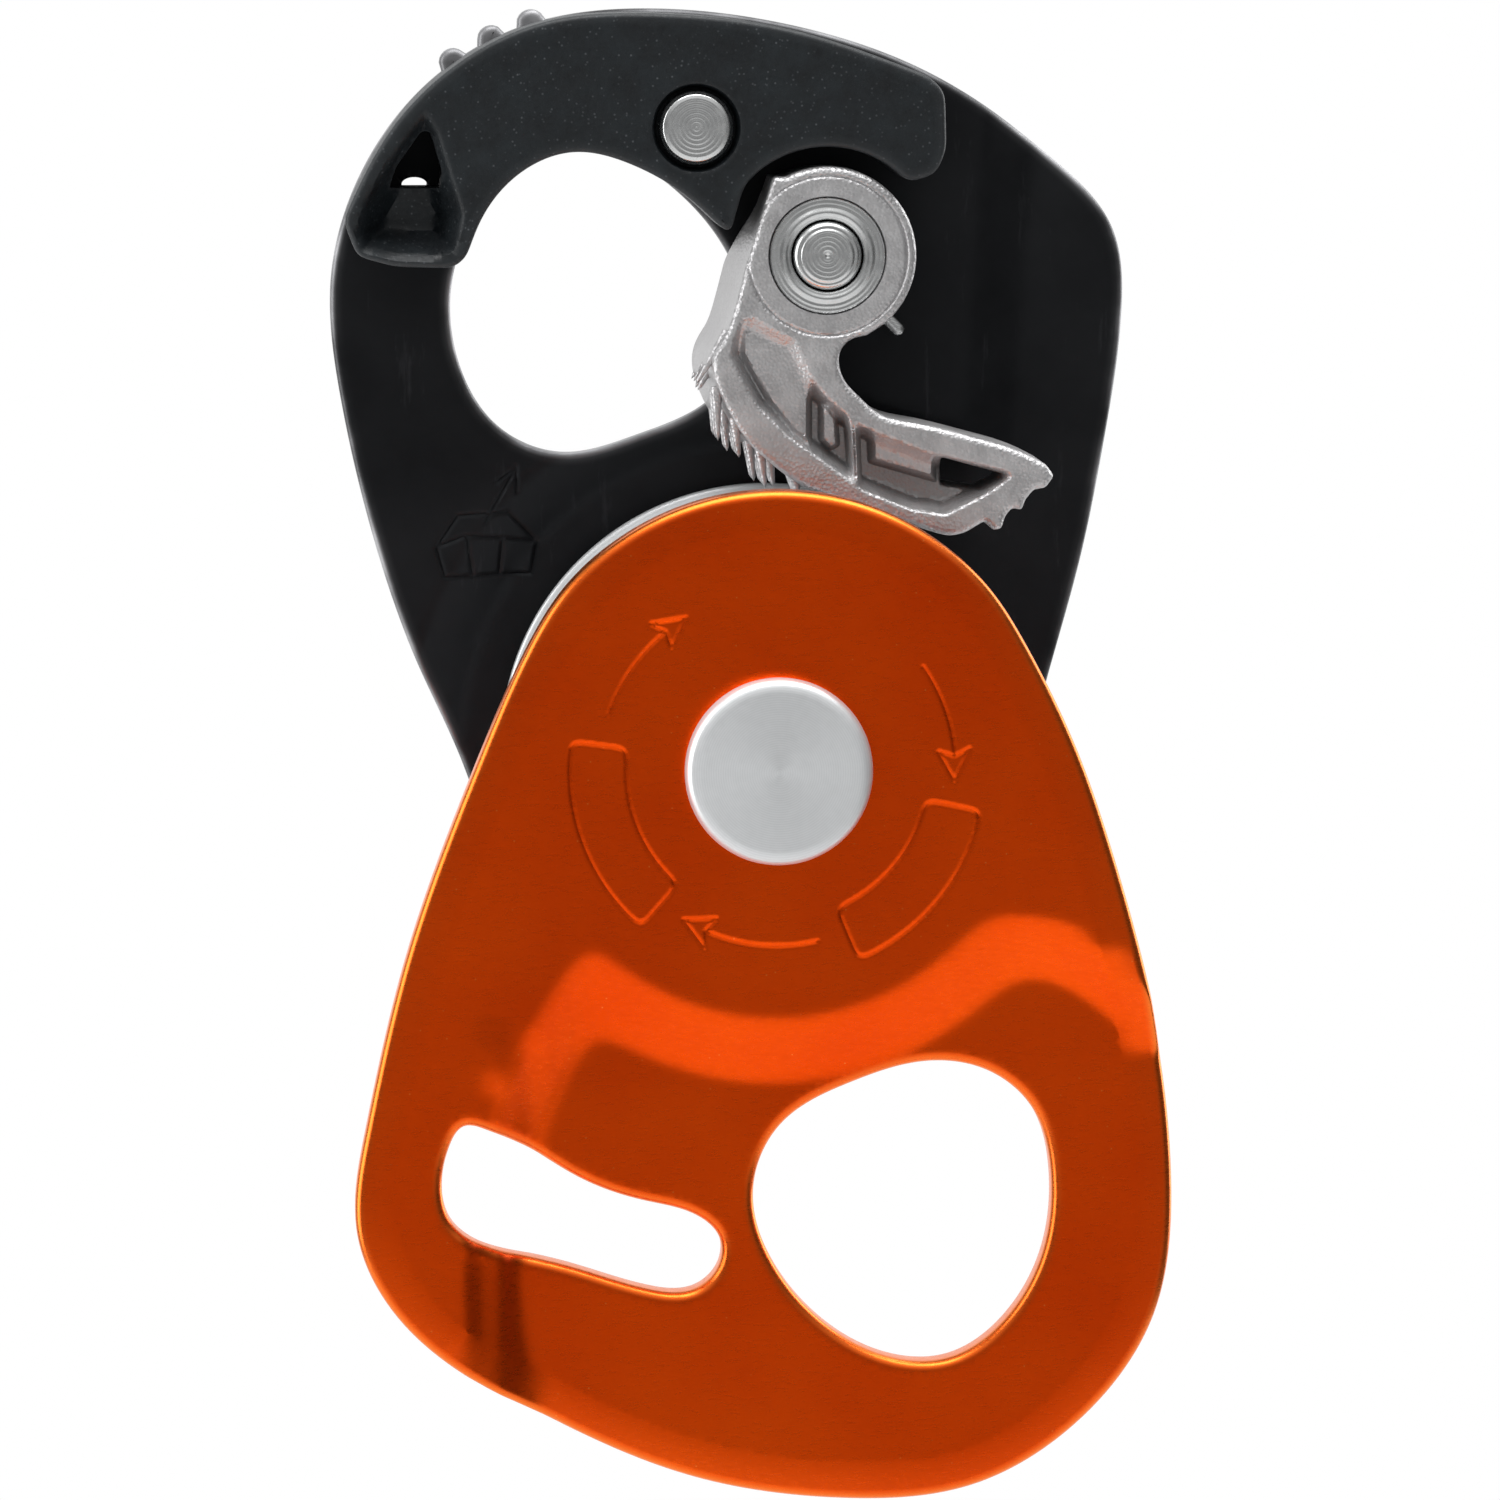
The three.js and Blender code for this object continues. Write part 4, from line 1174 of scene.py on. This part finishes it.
def spikes(rows, base=0.36, tip=0.10, steps=12, columns=18):
    """Every tooth at once: foot + lean times length, plus a circle whose radius tapers and rounds off."""
    seats = [(foot, lean, length, share) for k, (foot, lean, length) in enumerate(rows)
             for share in ((0.1, 0.5, 0.9) if k % 2 == 0 else (0.3, 0.7))]
    foot = np.array([s[0] for s in seats]) + CAM
    lean = np.array([s[1] for s in seats])
    lean /= np.linalg.norm(lean, axis=1)[:, None]
    length = np.array([s[2] for s in seats])
    y = CAM_FACES[0] + (CAM_FACES[1] - CAM_FACES[0]) * np.array([s[3] for s in seats])
    t = np.concatenate([[0], np.linspace(0, 1, steps)])
    radius = (base + (tip - base) * t) * np.sqrt(np.clip(1 - np.clip((t - 0.92) / 0.08, 0, 1) ** 2, 0, 1))
    radius[0] = 0
    angle = np.linspace(0, 2 * np.pi, columns + 1)[:-1]
    along = (t[None] * (length[:, None] + 0.5) - 0.5)[:, :, None]
    across = radius[None, :, None] * np.cos(angle)
    x = foot[:, 0, None, None] + lean[:, 0, None, None] * along - lean[:, 1, None, None] * across
    z = foot[:, 1, None, None] + lean[:, 1, None, None] * along + lean[:, 0, None, None] * across
    depth = y[:, None, None] + radius[None, :, None] * np.sin(angle) + 0 * across
    points = np.stack([x, depth, z], -1).reshape(-1, 3)
    one = quads(len(t), columns)
    return points, [np.vstack([one + k * len(t) * columns for k in range(len(seats))])]


points, faces = spikes(TOOTH_ROWS)
# The teeth get no painted shade: their stored shade value is zero.
piece("cam_teeth", "cam", "cast_steel", points, faces, "cast_steel", recess=np.zeros(len(points)))

# %% [markdown]
# ## Cam pin, bush, washers and spring
#
# The cam turns on a bronze bush over a headed pin that is fixed in the rear cheek. A torsion spring behind
# the hub presses the teeth to the rope: its coil is a helix, and one leg runs out past the hub.

# %% Pin, bush and washers
turned("cam_pin", "fixed_side", "turned_steel", "pin_steel",
       [(0, -4.18), (0.22, -4.3), (1.5, -4.3), (1.62, -4.2), (1.8, -4.22), (2.05, -3.9), (2.05, 7.3),
        (3.2, 7.3), (2.7, 8.2), (0, 8.2)], 0.12, centre=CAM)
turned("cam_bush", "fixed_side", "bronze", "bronze",
       [(2.35, -2.9), (2.8, -2.9), (2.8, 3.1), (2.35, 3.1)], centre=CAM)
turned("cam_washer_front", "fixed_side", "turned_steel", "pin_steel",
       [(2.12, -3.98), (2.6, -4.14), (2.75, -4.02), (3.4, -3.98), (3.4, -3.5), (2.12, -3.5)], 0.1, centre=CAM)
turned("cam_washer_rear", "fixed_side", "turned_steel", "pin_steel",
       [(2.35, 3.6), (3.2, 3.6), (3.2, 4.3), (2.35, 4.3)], 0.1, centre=CAM)


# %% Spring
def wire(path, radius, columns=20):
    """A round wire: circles square to the path, their radius falling to nothing at both ends."""
    along = np.gradient(path, axis=0)
    along /= np.linalg.norm(along, axis=1)[:, None]
    side = np.cross(along, [0, 1, 0])
    side /= np.linalg.norm(side, axis=1)[:, None]
    up = np.cross(side, along)
    travel = np.concatenate([[0], np.cumsum(np.linalg.norm(np.diff(path, axis=0), axis=1))])
    end = np.minimum(travel, travel[-1] - travel) / radius
    size = radius * np.sqrt(np.clip(1 - np.clip(1 - end, 0, 1) ** 2, 0, 1))
    angle = np.linspace(0, 2 * np.pi, columns + 1)[:-1, None]
    ring = side[:, None] * np.cos(angle) + up[:, None] * np.sin(angle)
    return (path[:, None] + size[:, None, None] * ring).reshape(-1, 3), [quads(len(path), columns)]


def spring_path():
    """Three turns at radius 4.05 that step back by one wire each, then a leg that runs straight out."""
    turn = np.radians(np.linspace(-45 - 3 * 360, -45, 360))
    coil = np.column_stack([4.05 * np.cos(turn), np.interp(turn, (turn[0], turn[-1]), (1.25, 3.72)),
                            4.05 * np.sin(turn)])
    out = np.linspace(0.1, 3.0, 30)
    leg = coil[-1] + np.column_stack([out * np.cos(turn[-1]), 0 * out, out * np.sin(turn[-1])])
    return even(np.vstack([coil, leg]), 0.08, closed=False) + [CAM[0], 0, CAM[1]]


points, faces = wire(spring_path(), 0.42)
piece("return_spring", "cam", "turned_steel", points, faces, "axle_steel", ("cam_spring",))

# %% [markdown]
# ## Check the size
#
# This prints how far the new pieces' box lies from the CAD box.

# %% Size and finish
visual_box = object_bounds()
grown = np.abs(np.array(visual_box) - np.array(cad_box)).max() / MM
print("largest difference from the CAD box", round(float(grown), 3), "mm")
